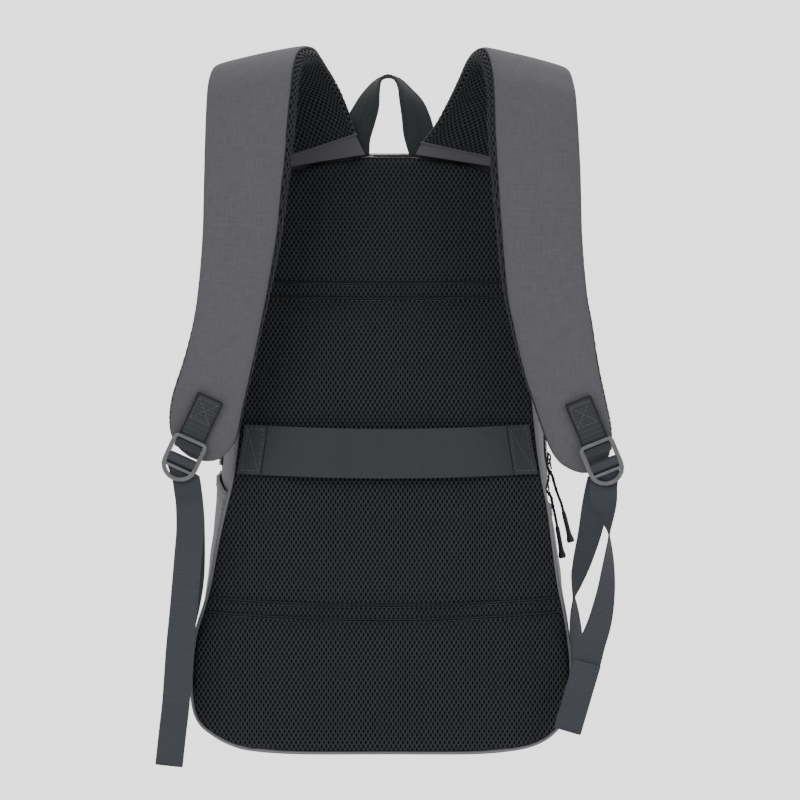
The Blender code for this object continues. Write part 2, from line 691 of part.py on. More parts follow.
def build_haul_loop(finish, collection):
    steps = 3
    count = (len(HAUL_ROWS) - 1) * steps
    points = []
    acrosses = []
    for number in range(count + 1):
        at = number / steps
        points.append(Vector((along(column(HAUL_ROWS, "across"), at) * BODY_WIDTH,
                              along(column(HAUL_ROWS, "out"), at) * HAUL_WIDTH,
                              -HAUL_RISE + along(column(HAUL_ROWS, "up"), at) * HAUL_RISE)))
        turn = math.radians(along(column(HAUL_ROWS, "turn"), at))
        acrosses.append(Vector((math.cos(turn), -math.sin(turn), 0)))
    loft("haul_loop", finish, collection, ribbon(points, acrosses, HAUL_WIDTH, HAUL_THICK))


Frame = namedtuple("Frame", "point across face breadth")


def strap_frames(rows, start, end, steps):
    """Middle, width direction and outer face direction of a strap between two of its rows."""
    side = -1 if rows[0].across < 0 else 1

    def point(at):
        return Vector((along(column(rows, "across"), at) * BODY_WIDTH,
                       -along(column(rows, "out"), at) * STRAP_REACH,
                       body_z(1) + along(column(rows, "up"), at) * BODY_HEIGHT))

    frames = []
    for number in range(steps + 1):
        at = mix(start, end, number / steps)
        lean = math.radians(along(column(rows, "lean"), at))
        turn = math.radians(along(column(rows, "face"), at))
        across = Vector((math.cos(turn) * math.cos(lean), side * math.sin(turn), math.sin(lean)))
        across.normalize()
        step = 0.05
        run = point(min(at + step, len(rows) - 1)) - point(max(at - step, 0))
        face = run.normalized().cross(across).normalized()
        frames.append(Frame(point(at), across, face, along(column(rows, "breadth"), at)))
    return frames


PAD_RING = [(-0.50, -0.12), (-0.50, 0.12), (-0.47, 0.36), (-0.39, 0.49), (0.0, 0.56),
            (0.39, 0.49), (0.47, 0.36), (0.50, 0.12), (0.50, -0.12), (0.45, -0.42),
            (0.0, -0.50), (-0.45, -0.42)]
FACE_RING = [(-0.47, 0.36, -0.75, 0.66), (-0.39, 0.49, -0.30, 0.95), (0.0, 0.56, 0.0, 1.0),
             (0.39, 0.49, 0.30, 0.95), (0.47, 0.36, 0.75, 0.66)]


def pad_section(frame):
    width = frame.breadth * STRAP_WIDTH
    return [frame.point + frame.across * (across * width) + frame.face * (out * STRAP_THICK)
            for across, out in PAD_RING]


def face_section(frame):
    width = frame.breadth * STRAP_WIDTH

    def lifted(row, lift):
        across, out, lift_across, lift_out = row
        sideways = across * width + lift_across * lift
        return (frame.point + frame.across * sideways
                + frame.face * (out * STRAP_THICK + lift_out * lift))

    inner = [lifted(row, GAP) for row in FACE_RING]
    outer = [lifted(row, GAP + STRAP_FACE) for row in reversed(FACE_RING)]
    return inner + outer


def build_strap(side, rows, pad_finish, face_finish, yoke_finish, collection):
    last = len(rows) - 1
    yoke = strap_frames(rows, 0, YOKE_ROWS, 2)
    loft("strap_yoke_" + side, yoke_finish, collection, [pad_section(item) for item in yoke])
    gap_rows = GAP / ((rows[YOKE_ROWS + 1].up - rows[YOKE_ROWS].up) * BODY_HEIGHT)
    frames = strap_frames(rows, YOKE_ROWS + gap_rows, last, 26)
    loft("strap_pad_" + side, pad_finish, collection, [pad_section(item) for item in frames])
    loft("strap_face_" + side, face_finish, collection, [face_section(item) for item in frames])


def buckle_frame(rows, seat):
    """Origin at the middle of the buckle's top edge, its across, down and outward directions.
    It lies in front of the pad's lower end, clear of the two layers of the tab."""
    pad = strap_frames(rows, seat.row, seat.row, 1)[0]
    out = pad.face
    middle = pad.point + out * (STRAP_THICK * 0.56 + GAP + STRAP_FACE)
    place = Vector((seat.across * BODY_WIDTH, 0, body_z(1) + seat.up * BODY_HEIGHT))
    place.y = middle.y - (out.x * (place.x - middle.x) + out.z * (place.z - middle.z)) / out.y
    origin = place + out * (tab_depth(1) + WEBBING_THICK / 2 + GAP)
    level = Vector((1, 0, 0))
    level = (level - out * level.dot(out)).normalized()
    down = level.cross(out)
    if down.z > 0:
        down = -down
    turn = math.radians(seat.roll)
    across = level * math.cos(turn) + down * math.sin(turn)
    down = down * math.cos(turn) - level * math.sin(turn)
    return origin, across, down, out


def tab_depth(layer):
    """How far behind the buckle's middle plane a layer of webbing lies: 0 is the nearer."""
    first = BUCKLE_THICK / 2 + GAP + WEBBING_THICK / 2 + GAP
    return first + layer * (WEBBING_THICK + GAP)


def buckle_levels():
    """Distances down the buckle where its bars begin and end."""
    pass_room = WEBBING_THICK + 2 * GAP + 0.0012
    rim = BUCKLE_BAR
    first_bar = rim + pass_room
    slit = first_bar + BUCKLE_BAR
    second_bar = slit + 0.0088
    third_window = second_bar + BUCKLE_BAR
    third_bar = third_window + pass_room + 0.0013
    lift_window = third_bar + BUCKLE_BAR
    return rim, first_bar, slit, second_bar, third_window, third_bar, lift_window


def rounded_box(half, top, low, corner):
    points = []
    corners = ((half - corner, top + corner, -90), (half - corner, low - corner, 0),
               (-half + corner, low - corner, 90), (-half + corner, top + corner, 180))
    for across, down, start in corners:
        for step in range(4):
            turn = math.radians(start + 30 * step)
            points.append((across + corner * math.cos(turn), down + corner * math.sin(turn)))
    return points


def buckle_outline(inset):
    """The frame's outline: rounded top corners, straight rails, and a round lift loop."""
    half = BUCKLE_WIDTH / 2 - inset
    corner = max(BUCKLE_CORNER - inset, 0.001)
    bend = BUCKLE_LENGTH * 0.63
    points = []
    for across, start in ((-half + corner, 180), (half - corner, 270)):
        for step in range(4):
            turn = math.radians(start + 30 * step)
            points.append((across + corner * math.cos(turn),
                           inset + corner + corner * math.sin(turn)))
    reach = BUCKLE_LENGTH - inset - bend
    for step in range(11):
        turn = math.pi * step / 10
        points.append((half * math.cos(turn), bend + reach * math.sin(turn)))
    return points


def lift_window_points(top):
    half = BUCKLE_WIDTH / 2 - BUCKLE_RAIL
    bend = BUCKLE_LENGTH * 0.63
    reach = BUCKLE_LENGTH - BUCKLE_RAIL - bend
    start = math.asin(min(0.95, (top - bend) / reach))
    return [(half * math.cos(mix(start, math.pi - start, step / 8)),
             bend + reach * math.sin(mix(start, math.pi - start, step / 8)))
            for step in range(9)]


def build_buckle(side, rows, seat, finish, collection):
    origin, across, down, out = buckle_frame(rows, seat)
    rim, first_bar, slit, second_bar, third_window, third_bar, lift = buckle_levels()
    half = BUCKLE_WIDTH / 2 - BUCKLE_RAIL
    corner = 0.0006
    loops = [buckle_outline(0.0),
             rounded_box(half, rim, first_bar, corner),
             rounded_box(half, slit, second_bar, corner),
             rounded_box(half, third_window, third_bar, corner),
             lift_window_points(lift)]
    curve = bpy.data.curves.new("strap_buckle_" + side, "CURVE")
    curve.dimensions = "2D"
    curve.fill_mode = "BOTH"
    curve.extrude = BUCKLE_THICK / 2
    for points in loops:
        spline = curve.splines.new("POLY")
        spline.points.add(len(points) - 1)
        for slot, (sideways, downward) in zip(spline.points, points):
            slot.co = (sideways, -downward, 0, 1)
        spline.use_cyclic_u = True
    curve.materials.append(finish)
    item = bpy.data.objects.new("strap_buckle_" + side, curve)
    turn = Matrix((across, -down, out)).transposed().to_4x4()
    item.matrix_world = Matrix.Translation(origin) @ turn
    collection.objects.link(item)


def build_tab(side, rows, seat, finish, collection):
    """Webbing from the strap's end, under the buckle's rim, round its first bar and back."""
    origin, across, down, out = buckle_frame(rows, seat)
    rim, first_bar, slit, *_ = buckle_levels()
    near = -tab_depth(0)
    far = -tab_depth(1)
    front = BUCKLE_THICK / 2 + GAP + WEBBING_THICK / 2 + 0.0002
    window = (rim + first_bar) / 2
    behind = slit + WEBBING_THICK / 2 + GAP + 0.0003
    middle = (first_bar + slit) / 2
    route = [(-TAB_LENGTH, near), (-TAB_LENGTH * 0.5, near), (rim * 0.2, near),
             (rim + 0.0004, near * 0.93), (window, near * 0.3), (window + 0.0001, front * 0.45),
             (first_bar - 0.0004, front), (middle, front + 0.0001), (slit + 0.0004, front),
             (behind, front * 0.45), (behind, near * 0.35), (slit + 0.0005, mix(near, far, 0.35)),
             (first_bar, mix(near, far, 0.85)), (rim, far), (-TAB_LENGTH * 0.5, far),
             (-TAB_LENGTH, far)]
    points = [origin + down * low + out * high for low, high in route]
    loft("strap_tab_" + side, finish, collection,
         ribbon(points, [across] * len(points), WEBBING_WIDTH, WEBBING_THICK))


def web_points(rows, steps=4):
    """Middle and width direction of webbing that hangs down through its rows."""
    count = (len(rows) - 1) * steps
    points = [Vector((along(column(rows, "across"), number / steps) * BODY_WIDTH,
                      -along(column(rows, "out"), number / steps) * STRAP_REACH,
                      body_z(1) + along(column(rows, "up"), number / steps) * BODY_HEIGHT))
              for number in range(count + 1)]
    acrosses = []
    for number, run in enumerate(tangents(points)):
        flat = run.cross(Vector((0, 1, 0))).normalized()
        twist = math.radians(along(column(rows, "twist"), number / steps))
        acrosses.append(flat * math.cos(twist) + run.cross(flat) * math.sin(twist))
    return points, acrosses


def build_adjuster(side, rows, seat, tail, anchor, finish, collection):
    """Webbing from the seam at the bag's corner up to the buckle, round its second bar,
    and down again as the free tail with its folded hem."""
    origin, across, down, out = buckle_frame(rows, seat)
    *_, second_bar, third_window, third_bar, _ = buckle_levels()
    near = -tab_depth(0)
    far = -tab_depth(1)
    front = BUCKLE_THICK / 2 + GAP + WEBBING_THICK / 2 + 0.0002
    before = second_bar - WEBBING_THICK / 2 - GAP - 0.0003
    window = (third_window + third_bar) / 2
    middle = (second_bar + third_window) / 2
    over = [(third_bar + 0.0006, near), (window + 0.0005, near * 0.75), (window, front * 0.1),
            (third_window + 0.0006, front * 0.85), (middle, front), (second_bar - 0.0006, front),
            (before, front * 0.3), (before, near * 0.5), (second_bar + 0.0003, mix(near, far, 0.6)),
            (third_window, far), (third_bar + 0.0006, far)]
    bar_points = [origin + down * low + out * high for low, high in over]

    tail_points, tail_acrosses = web_points(tail)
    runs = tangents(tail_points)
    hem_points = []
    hem_acrosses = []
    fold = WEBBING_THICK + GAP
    length = 0.0
    for number in range(len(tail_points) - 1, 0, -1):
        back = -runs[number].cross(tail_acrosses[number]).normalized()
        if length > 0:
            hem_points.insert(0, tail_points[number] + back * fold)
            hem_acrosses.insert(0, tail_acrosses[number])
        length += (tail_points[number] - tail_points[number - 1]).length
        if length > HEM_LENGTH:
            break
    end = tail_points[-1]
    back = -runs[-1].cross(tail_acrosses[-1]).normalized()
    for turn in (180, 135, 90, 45):
        angle = math.radians(turn)
        hem_points.append(end + back * (fold / 2) * (1 - math.cos(angle))
                          + runs[-1] * (fold / 2) * math.sin(angle))
        hem_acrosses.append(tail_acrosses[-1])

    anchor_points, anchor_acrosses = web_points(anchor)
    points = hem_points + tail_points[::-1] + bar_points + anchor_points
    acrosses = (hem_acrosses + tail_acrosses[::-1] + [across] * len(bar_points)
                + anchor_acrosses)
    loft("adjuster_webbing_" + side, finish, collection,
         ribbon(points, acrosses, WEBBING_WIDTH, WEBBING_THICK))


def main():
    parts = fresh_scene()
    mesh_cloth = material("air_mesh", (0.016, 0.020, 0.023), 0.85)
    gray_cloth = material("gray_polyester", (0.125, 0.120, 0.133), 0.75)
    webbing = material("polyester_webbing", (0.046, 0.056, 0.066), 0.65)
    zip_black = material("zip_black", (0.012, 0.012, 0.014), 0.5)
    rubber = material("grip_rubber", (0.022, 0.022, 0.026), 0.6)
    metal = material("gunmetal_buckle", (0.14, 0.135, 0.125), 0.35, 0.9)

    build_back_panel(mesh_cloth, parts)
    build_piping(gray_cloth, parts)
    corner = 4
    shoulder = 19
    build_wall("gusset_left", gray_cloth, parts, corner, shoulder)
    build_wall("gusset_top", gray_cloth, parts, shoulder, WALK - shoulder)
    build_wall("gusset_right", gray_cloth, parts, WALK - shoulder, WALK - corner)
    build_wall("gusset_bottom", gray_cloth, parts, WALK - corner, WALK + corner)
    build_front(gray_cloth, parts)
    build_zip(zip_black, zip_black, parts)
    for name, height, rows in (("upper", UPPER_SLIDER_HEIGHT, UPPER_CORD),
                               ("lower", LOWER_SLIDER_HEIGHT, LOWER_CORD)):
        build_slider("zip_slider_" + name, height, zip_black, parts)
        build_pull(name, height, rows, zip_black, rubber, parts)
    for shape in (LEFT_POCKET, RIGHT_POCKET):
        build_pocket(shape, gray_cloth, gray_cloth, parts)
    build_band(webbing, parts)
    build_haul_loop(webbing, parts)
    for side, rows, seat, tail, anchor in (
            ("left", LEFT_STRAP, LEFT_BUCKLE, LEFT_TAIL, LEFT_ANCHOR),
            ("right", RIGHT_STRAP, RIGHT_BUCKLE, RIGHT_TAIL, RIGHT_ANCHOR)):
        build_strap(side, rows, mesh_cloth, gray_cloth, gray_cloth, parts)
        build_buckle(side, rows, seat, metal, parts)
        build_tab(side, rows, seat, webbing, parts)
        build_adjuster(side, rows, seat, tail, anchor, webbing, parts)


main()
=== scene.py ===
"""Dressed look of the laptop backpack: cloth, openwork mesh, webbing, stitching, zip and buckles.

Metres, +Z up, worn side towards -Y, origin under the top of the haul loop, as in the frame.
"""

import math
from collections import namedtuple

import bmesh
import bpy
from bpy.props import FloatProperty, PointerProperty, StringProperty
from mathutils import Matrix, Vector, noise
from mathutils.bvhtree import BVHTree


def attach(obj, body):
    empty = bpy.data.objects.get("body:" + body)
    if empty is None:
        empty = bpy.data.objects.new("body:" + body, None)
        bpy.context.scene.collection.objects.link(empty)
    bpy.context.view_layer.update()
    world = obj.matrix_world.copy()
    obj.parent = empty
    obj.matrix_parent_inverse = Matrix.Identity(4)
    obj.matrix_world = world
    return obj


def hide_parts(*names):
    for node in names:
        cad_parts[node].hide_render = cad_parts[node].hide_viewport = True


bl_info = {
    "name": "Laptop Backpack",
    "version": (1, 0, 0),
    "blender": (4, 5, 0),
    "location": "3D View > Sidebar > Backpack",
    "description": "Builds a laptop backpack with its mesh back, straps, webbing and zip",
    "category": "Add Mesh",
}

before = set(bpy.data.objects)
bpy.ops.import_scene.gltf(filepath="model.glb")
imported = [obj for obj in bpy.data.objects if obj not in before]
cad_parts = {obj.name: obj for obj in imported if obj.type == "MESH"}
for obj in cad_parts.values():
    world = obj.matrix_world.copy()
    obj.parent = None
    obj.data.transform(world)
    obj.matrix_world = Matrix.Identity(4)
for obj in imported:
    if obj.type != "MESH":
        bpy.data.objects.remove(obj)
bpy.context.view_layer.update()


# Body
BODY_HEIGHT = 0.452
BODY_WIDTH = 0.296
BODY_DEPTH = 0.150
HAUL_RISE = 0.061          # from the body's top edge up to the underside of the haul loop
CLOTH = 0.0018             # walls of coated polyester with its thin foam
FRONT_WALL = 0.002
FRONT_CROWN = 0.022        # how far the front bulges beyond its seam
FRONT_TUCK = 0.012         # how far the sides turn in towards the front
GAP = 0.0004               # between neighbouring pieces
PANEL_EDGE = 0.003         # back panel where it is sewn
PANEL_CROWN = 0.009        # its padding, beyond the sewn edge
PIPING = 0.0028

# Zip, pockets, band and handle
ZIP_PLACE = 0.29           # share of the depth where the zip runs
ZIP_TAPE = 0.025
ZIP_TAPE_THICK = 0.0006
ZIP_COIL_THICK = 0.0012
SLIDER_LENGTH = 0.011
SLIDER_WIDTH = 0.008
SLIDER_THICK = 0.002
PULL_CORD = 0.0022
GRIP_LENGTH = 0.0235
GRIP_NECK = 0.0032
POCKET_WALL = 0.0012
POCKET_CLEAR = 0.001       # between the pocket and the wall where it is sewn
POCKET_HEM = 0.008
BAND_WIDTH = 0.0375
BAND_THICK = 0.0015
BAND_SAG = 0.0034
BAND_SLACK = 0.0075
HAUL_WIDTH = 0.025
HAUL_THICK = 0.0024

# Shoulder straps and their webbing
STRAP_WIDTH = 0.074
STRAP_THICK = 0.0125
STRAP_REACH = 0.080        # how far the strap arches out in front of the back panel
STRAP_FACE = 0.0012
WEBBING_WIDTH = 0.020
WEBBING_THICK = 0.0013
TAB_LENGTH = 0.0345
LEFT_ROLL = 24.5           # degrees that tab and buckle lean outwards on each strap
RIGHT_ROLL = 22.0
HEM_LENGTH = 0.053
BUCKLE_WIDTH = 0.027
BUCKLE_LENGTH = 0.035
BUCKLE_THICK = 0.0024
BUCKLE_RAIL = 0.0028
BUCKLE_BAR = 0.0024
BUCKLE_CORNER = 0.004

BodyRow = namedtuple(
    "BodyRow", "height left right bulge_left bulge_right pocket_left pocket_right depth")
# height is a share of BODY_HEIGHT; left, right, bulges and pockets are shares of BODY_WIDTH
# from the middle or out from the panel's edge; depth is a share of BODY_DEPTH
BODY_ROWS = [BodyRow(*row) for row in (
    (0.000, 0.228, 0.208, 0.004, 0.004, 0.004, 0.004, 0.86),
    (0.005, 0.346, 0.310, 0.004, 0.004, 0.004, 0.004, 0.87),
    (0.014, 0.403, 0.372, 0.003, 0.003, 0.006, 0.006, 0.89),
    (0.030, 0.449, 0.415, 0.002, 0.002, 0.008, 0.008, 0.92),
    (0.051, 0.485, 0.441, 0.000, 0.000, 0.012, 0.012, 0.95),
    (0.085, 0.502, 0.456, -0.006, -0.006, 0.012, 0.012, 0.97),
    (0.139, 0.503, 0.464, -0.010, -0.010, 0.012, 0.011, 1.00),
    (0.193, 0.494, 0.457, -0.012, -0.012, 0.011, 0.012, 1.00),
    (0.240, 0.473, 0.445, -0.016, -0.016, 0.012, 0.013, 1.00),
    (0.282, 0.456, 0.432, -0.016, -0.020, 0.015, 0.014, 1.00),
    (0.349, 0.437, 0.418, -0.014, -0.024, 0.022, 0.012, 1.00),
    (0.408, 0.417, 0.406, -0.006, -0.022, 0.033, 0.010, 1.00),
    (0.458, 0.399, 0.391, 0.016, 0.002, 0.046, 0.020, 1.00),
    (0.517, 0.387, 0.378, 0.042, 0.022, 0.050, 0.032, 1.00),
    (0.609, 0.374, 0.364, 0.042, 0.034, 0.050, 0.040, 0.97),
    (0.693, 0.364, 0.354, 0.042, 0.036, 0.050, 0.044, 0.92),
    (0.779, 0.351, 0.341, 0.040, 0.036, 0.048, 0.044, 0.85),
    (0.861, 0.338, 0.328, 0.038, 0.034, 0.046, 0.042, 0.76),
    (0.920, 0.324, 0.314, 0.034, 0.032, 0.042, 0.040, 0.68),
    (0.952, 0.305, 0.296, 0.028, 0.028, 0.036, 0.036, 0.63),
    (0.971, 0.269, 0.267, 0.020, 0.020, 0.028, 0.028, 0.59),
    (0.984, 0.213, 0.213, 0.012, 0.012, 0.020, 0.020, 0.56),
    (0.994, 0.138, 0.131, 0.006, 0.006, 0.014, 0.014, 0.54),
    (1.000, 0.062, 0.059, 0.004, 0.004, 0.012, 0.012, 0.53),
)]
TOP_ROW = len(BODY_ROWS) - 1

StrapRow = namedtuple("StrapRow", "across up out breadth lean face")
# across is a share of BODY_WIDTH, up of BODY_HEIGHT from the body's top, out of STRAP_REACH,
# breadth of STRAP_WIDTH; lean and face are degrees: the slope of the width, and its turn
LEFT_STRAP = [StrapRow(*row) for row in (
    (-0.169, -0.006, 0.085, 0.87, 8.8, 0),
    (-0.199, 0.0143, 0.085, 0.94, 18, 0),
    (-0.223, 0.058, 0.090, 0.97, 14, 0),
    (-0.253, 0.100, 0.145, 1.00, 12, 4),
    (-0.280, 0.130, 0.280, 1.00, 12, 8),
    (-0.303, 0.152, 0.500, 1.00, 11, 14),
    (-0.332, 0.150, 0.770, 1.00, 10, 22),
    (-0.344, 0.127, 0.910, 1.02, 8, 27),
    (-0.349, 0.092, 0.970, 1.01, 5, 28),
    (-0.355, 0.032, 1.000, 0.98, 2, 28),
    (-0.362, -0.033, 0.990, 0.93, 1, 26),
    (-0.374, -0.132, 0.930, 0.83, 1, 20),
    (-0.393, -0.220, 0.840, 0.75, 1, 14),
    (-0.410, -0.278, 0.760, 0.71, 0, 9),
    (-0.433, -0.341, 0.660, 0.71, -3, 5),
    (-0.462, -0.410, 0.560, 0.735, -6, 2),
    (-0.473, -0.455, 0.495, 0.70, -8, 0),
    (-0.476, -0.481, 0.455, 0.58, -6, 0),
    (-0.470, -0.499, 0.430, 0.34, -2, 0),
    (-0.464, -0.506, 0.420, 0.12, 0, 0),
)]
RIGHT_STRAP = [StrapRow(*row) for row in (
    (0.177, -0.006, 0.085, 0.87, -8.8, 0),
    (0.200, 0.0085, 0.085, 0.93, -12, 0),
    (0.238, 0.043, 0.090, 0.94, -10, 0),
    (0.273, 0.082, 0.145, 0.96, -10, 4),
    (0.297, 0.113, 0.280, 0.97, -10, 8),
    (0.320, 0.144, 0.500, 0.98, -11, 14),
    (0.346, 0.148, 0.770, 0.99, -13, 22),
    (0.359, 0.123, 0.910, 0.99, -10, 26),
    (0.365, 0.092, 0.970, 0.97, -4, 26),
    (0.369, 0.034, 1.000, 0.98, -2, 26),
    (0.376, -0.038, 0.990, 0.955, 0, 24),
    (0.385, -0.134, 0.930, 0.885, 0, 18),
    (0.399, -0.227, 0.840, 0.845, 2, 12),
    (0.415, -0.280, 0.760, 0.82, 3, 8),
    (0.437, -0.351, 0.650, 0.775, 4, 4),
    (0.462, -0.410, 0.560, 0.725, 5, 2),
    (0.485, -0.463, 0.480, 0.67, 9, 0),
    (0.498, -0.497, 0.430, 0.555, 11, 0),
    (0.507, -0.517, 0.400, 0.34, 8, 0),
    (0.510, -0.526, 0.388, 0.12, 6, 0),
)]
YOKE_ROWS = 1              # the strap's first stretch is its yoke

WebRow = namedtuple("WebRow", "across up out twist")
# the same shares; twist is in degrees, 0 where the webbing lies flat to the back
LEFT_TAIL = [WebRow(*row) for row in (
    (-0.519, -0.539, 0.506, 8), (-0.514, -0.562, 0.494, 6),
    (-0.510, -0.584, 0.478, 4), (-0.509, -0.626, 0.450, 0),
    (-0.515, -0.676, 0.438, 0), (-0.526, -0.760, 0.425, 0),
    (-0.536, -0.828, 0.410, 0), (-0.545, -0.912, 0.400, 0),
    (-0.554, -0.965, 0.400, 0), (-0.563, -1.019, 0.400, 0),
)]
LEFT_ANCHOR = [WebRow(*row) for row in (
    (-0.519, -0.539, 0.482, 8), (-0.514, -0.560, 0.460, 8),
    (-0.508, -0.600, 0.400, 8), (-0.506, -0.643, 0.320, 12),
    (-0.506, -0.701, 0.210, 24), (-0.511, -0.752, 0.100, 45),
    (-0.520, -0.802, 0.010, 62), (-0.525, -0.853, -0.012, 62),
    (-0.527, -0.900, -0.012, 62),
)]
RIGHT_TAIL = [WebRow(*row) for row in (
    (0.551, -0.542, 0.485, 0), (0.549, -0.560, 0.490, 6),
    (0.555, -0.594, 0.505, 46), (0.562, -0.626, 0.510, 84),
    (0.563, -0.651, 0.500, 100), (0.561, -0.687, 0.485, 116),
    (0.555, -0.730, 0.465, 131), (0.541, -0.777, 0.445, 148),
    (0.520, -0.819, 0.420, 163), (0.505, -0.855, 0.415, 172),
    (0.486, -0.898, 0.410, 178), (0.472, -0.930, 0.405, 180),
    (0.458, -0.961, 0.400, 180),
)]
RIGHT_ANCHOR = [WebRow(*row) for row in (
    (0.543, -0.542, 0.445, 0), (0.537, -0.560, 0.410, 4),
    (0.527, -0.590, 0.340, 20), (0.513, -0.636, 0.245, 36),
    (0.495, -0.680, 0.175, 50), (0.481, -0.712, 0.125, 66),
    (0.474, -0.734, 0.085, 85), (0.475, -0.757, 0.050, 104),
    (0.480, -0.797, 0.005, 116), (0.486, -0.848, -0.012, 118),
    (0.488, -0.895, -0.012, 118),
)]
BuckleSeat = namedtuple("BuckleSeat", "across up row roll")
LEFT_BUCKLE = BuckleSeat(-0.503, -0.470, 16, LEFT_ROLL)
RIGHT_BUCKLE = BuckleSeat(0.526, -0.476, 16, -RIGHT_ROLL)

HaulRow = namedtuple("HaulRow", "across up out turn")
# across is a share of BODY_WIDTH, up of HAUL_RISE, out of HAUL_WIDTH; turn 0 is flat to the
# back, 90 edge-on at the loop's top
HAUL_ROWS = [HaulRow(*row) for row in (
    (-0.092, 0.020, 0.095, 0), (-0.090, 0.220, 0.090, 5),
    (-0.075, 0.440, 0.080, 20), (-0.060, 0.620, 0.060, 38),
    (-0.046, 0.810, 0.030, 60), (-0.028, 0.965, 0.000, 80),
    (-0.004, 1.022, 0.000, 90), (0.021, 0.985, 0.000, 100),
    (0.040, 0.870, 0.020, 112), (0.058, 0.700, 0.045, 135),
    (0.070, 0.500, 0.065, 150), (0.079, 0.270, 0.085, 165),
    (0.095, 0.020, 0.095, 180),
)]

CordRow = namedtuple("CordRow", "across up out")
# route of each pull's cord, from its slider to its grip: across a share of BODY_WIDTH, up of
# BODY_HEIGHT from the body's top, out of BODY_DEPTH behind the panel's seam
UPPER_CORD = [CordRow(*row) for row in (
    (0.4215, -0.536, 0.280), (0.4300, -0.556, 0.274),
    (0.4380, -0.571, 0.270), (0.4450, -0.583, 0.268),
    (0.4510, -0.598, 0.268),
)]
LOWER_CORD = [CordRow(*row) for row in (
    (0.4180, -0.571, 0.290), (0.4230, -0.586, 0.288),
    (0.4280, -0.600, 0.286), (0.4320, -0.613, 0.285),
    (0.4350, -0.624, 0.285),
)]
LOWER_SLIDER_HEIGHT = 0.454
SLIDER_SPACE = 0.0062      # between the two sliders
UPPER_SLIDER_HEIGHT = LOWER_SLIDER_HEIGHT + (SLIDER_LENGTH + SLIDER_SPACE) / BODY_HEIGHT
ZIP_LEFT_END = 0.480
ZIP_RIGHT_END = 0.436


def mix(low, high, share):
    return low + (high - low) * share


def ease(share):
    share = min(1.0, max(0.0, share))
    return share * share * (3 - 2 * share)


def hermite(before, low, high, after, share):
    """Uniform Catmull-Rom curve between the two middle values."""
    rise_low = (high - before) * 0.5
    rise_high = (after - low) * 0.5
    a = 2 * share ** 3 - 3 * share ** 2 + 1
    b = share ** 3 - 2 * share ** 2 + share
    c = 3 * share ** 2 - 2 * share ** 3
    d = share ** 3 - share ** 2
    return low * a + rise_low * b + high * c + rise_high * d


def along(values, at, closed=False):
    """A list read at a place between its items, on a smooth curve."""
    count = len(values)
    first = math.floor(at)
    share = at - first
    if closed:
        four = [values[(first + step) % count] for step in (-1, 0, 1, 2)]
    else:
        first = min(first, count - 2)
        share = at - first
        four = [values[min(max(first + step, 0), count - 1)] for step in (-1, 0, 1, 2)]
    return hermite(*four, share)


def column(rows, name):
    return [getattr(row, name) for row in rows]


def body_z(height):
    return -HAUL_RISE - BODY_HEIGHT * (1 - height)


def walk_values(left_name, right_name, sign_left=1):
    """A column pair round the outline: bottom middle, left side up, top middle, right down."""
    left = [sign_left * value for value in column(BODY_ROWS, left_name)]
    right = column(BODY_ROWS, right_name)
    return ([(left[0] + right[0]) / 2] + left + [(left[-1] + right[-1]) / 2] + right[::-1])


WALK_X = [value * BODY_WIDTH for value in walk_values("left", "right", -1)]
WALK_Z = [body_z(value) for value in walk_values("height", "height")]
WALK_BULGE = [value * BODY_WIDTH for value in walk_values("bulge_left", "bulge_right")]
WALK_POCKET = [value * BODY_WIDTH for value in walk_values("pocket_left", "pocket_right")]
WALK_DEPTH = [value * BODY_DEPTH for value in walk_values("depth", "depth")]
WALK = len(WALK_X)


def walk_left(height):
    """Place along the outline of a height on the left side."""
    places = column(BODY_ROWS, "height")
    for low in range(TOP_ROW):
        if height <= places[low + 1]:
            return 1 + low + (height - places[low]) / (places[low + 1] - places[low])
    return 1 + TOP_ROW


def walk_right(height):
    return WALK - walk_left(height)


def outline(at):
    """The back panel's edge there, with the direction that points away from the body."""
    step = 0.02
    point = Vector((along(WALK_X, at, True), 0, along(WALK_Z, at, True)))
    ahead = Vector((along(WALK_X, at + step, True), 0, along(WALK_Z, at + step, True)))
    behind = Vector((along(WALK_X, at - step, True), 0, along(WALK_Z, at - step, True)))
    run = (ahead - behind).normalized()
    return point, Vector((-run.z, 0, run.x))


def outline_pace(at):
    """Metres along the outline for one step of its place."""
    ahead, _ = outline(at + 0.05)
    behind, _ = outline(at - 0.05)
    return (ahead - behind).length / 0.1


def belly(depth_share):
    """How much of its bulge a side wall has at a share of the depth."""
    return 1 - (1 - min(depth_share / 0.32, 1.0)) ** 2


def wall_point(at, depth_share, lift=0.0):
    point, outward = outline(at)
    out = along(WALK_BULGE, at, True) * belly(depth_share)
    out += lift - FRONT_TUCK * ease((depth_share - 0.72) / 0.28)
    point = point + outward * out
    point.y = GAP + along(WALK_DEPTH, at, True) * depth_share
    return point


def tangents(points):
    runs = []
    for number in range(len(points)):
        ahead = points[min(number + 1, len(points) - 1)]
        behind = points[max(number - 1, 0)]
        runs.append((ahead - behind).normalized())
    return runs


def route_length(points):
    return sum((high - low).length for low, high in zip(points, points[1:]))


def placed(origin, x, y, z):
    """The matrix that turns a piece's own axes to x, y and z and moves it to origin."""
    return Matrix.Translation(origin) @ Matrix((x, y, z)).transposed().to_4x4()


def panel_edges(height):
    left, _ = outline(walk_left(height))
    right, _ = outline(walk_right(height))
    return left, right


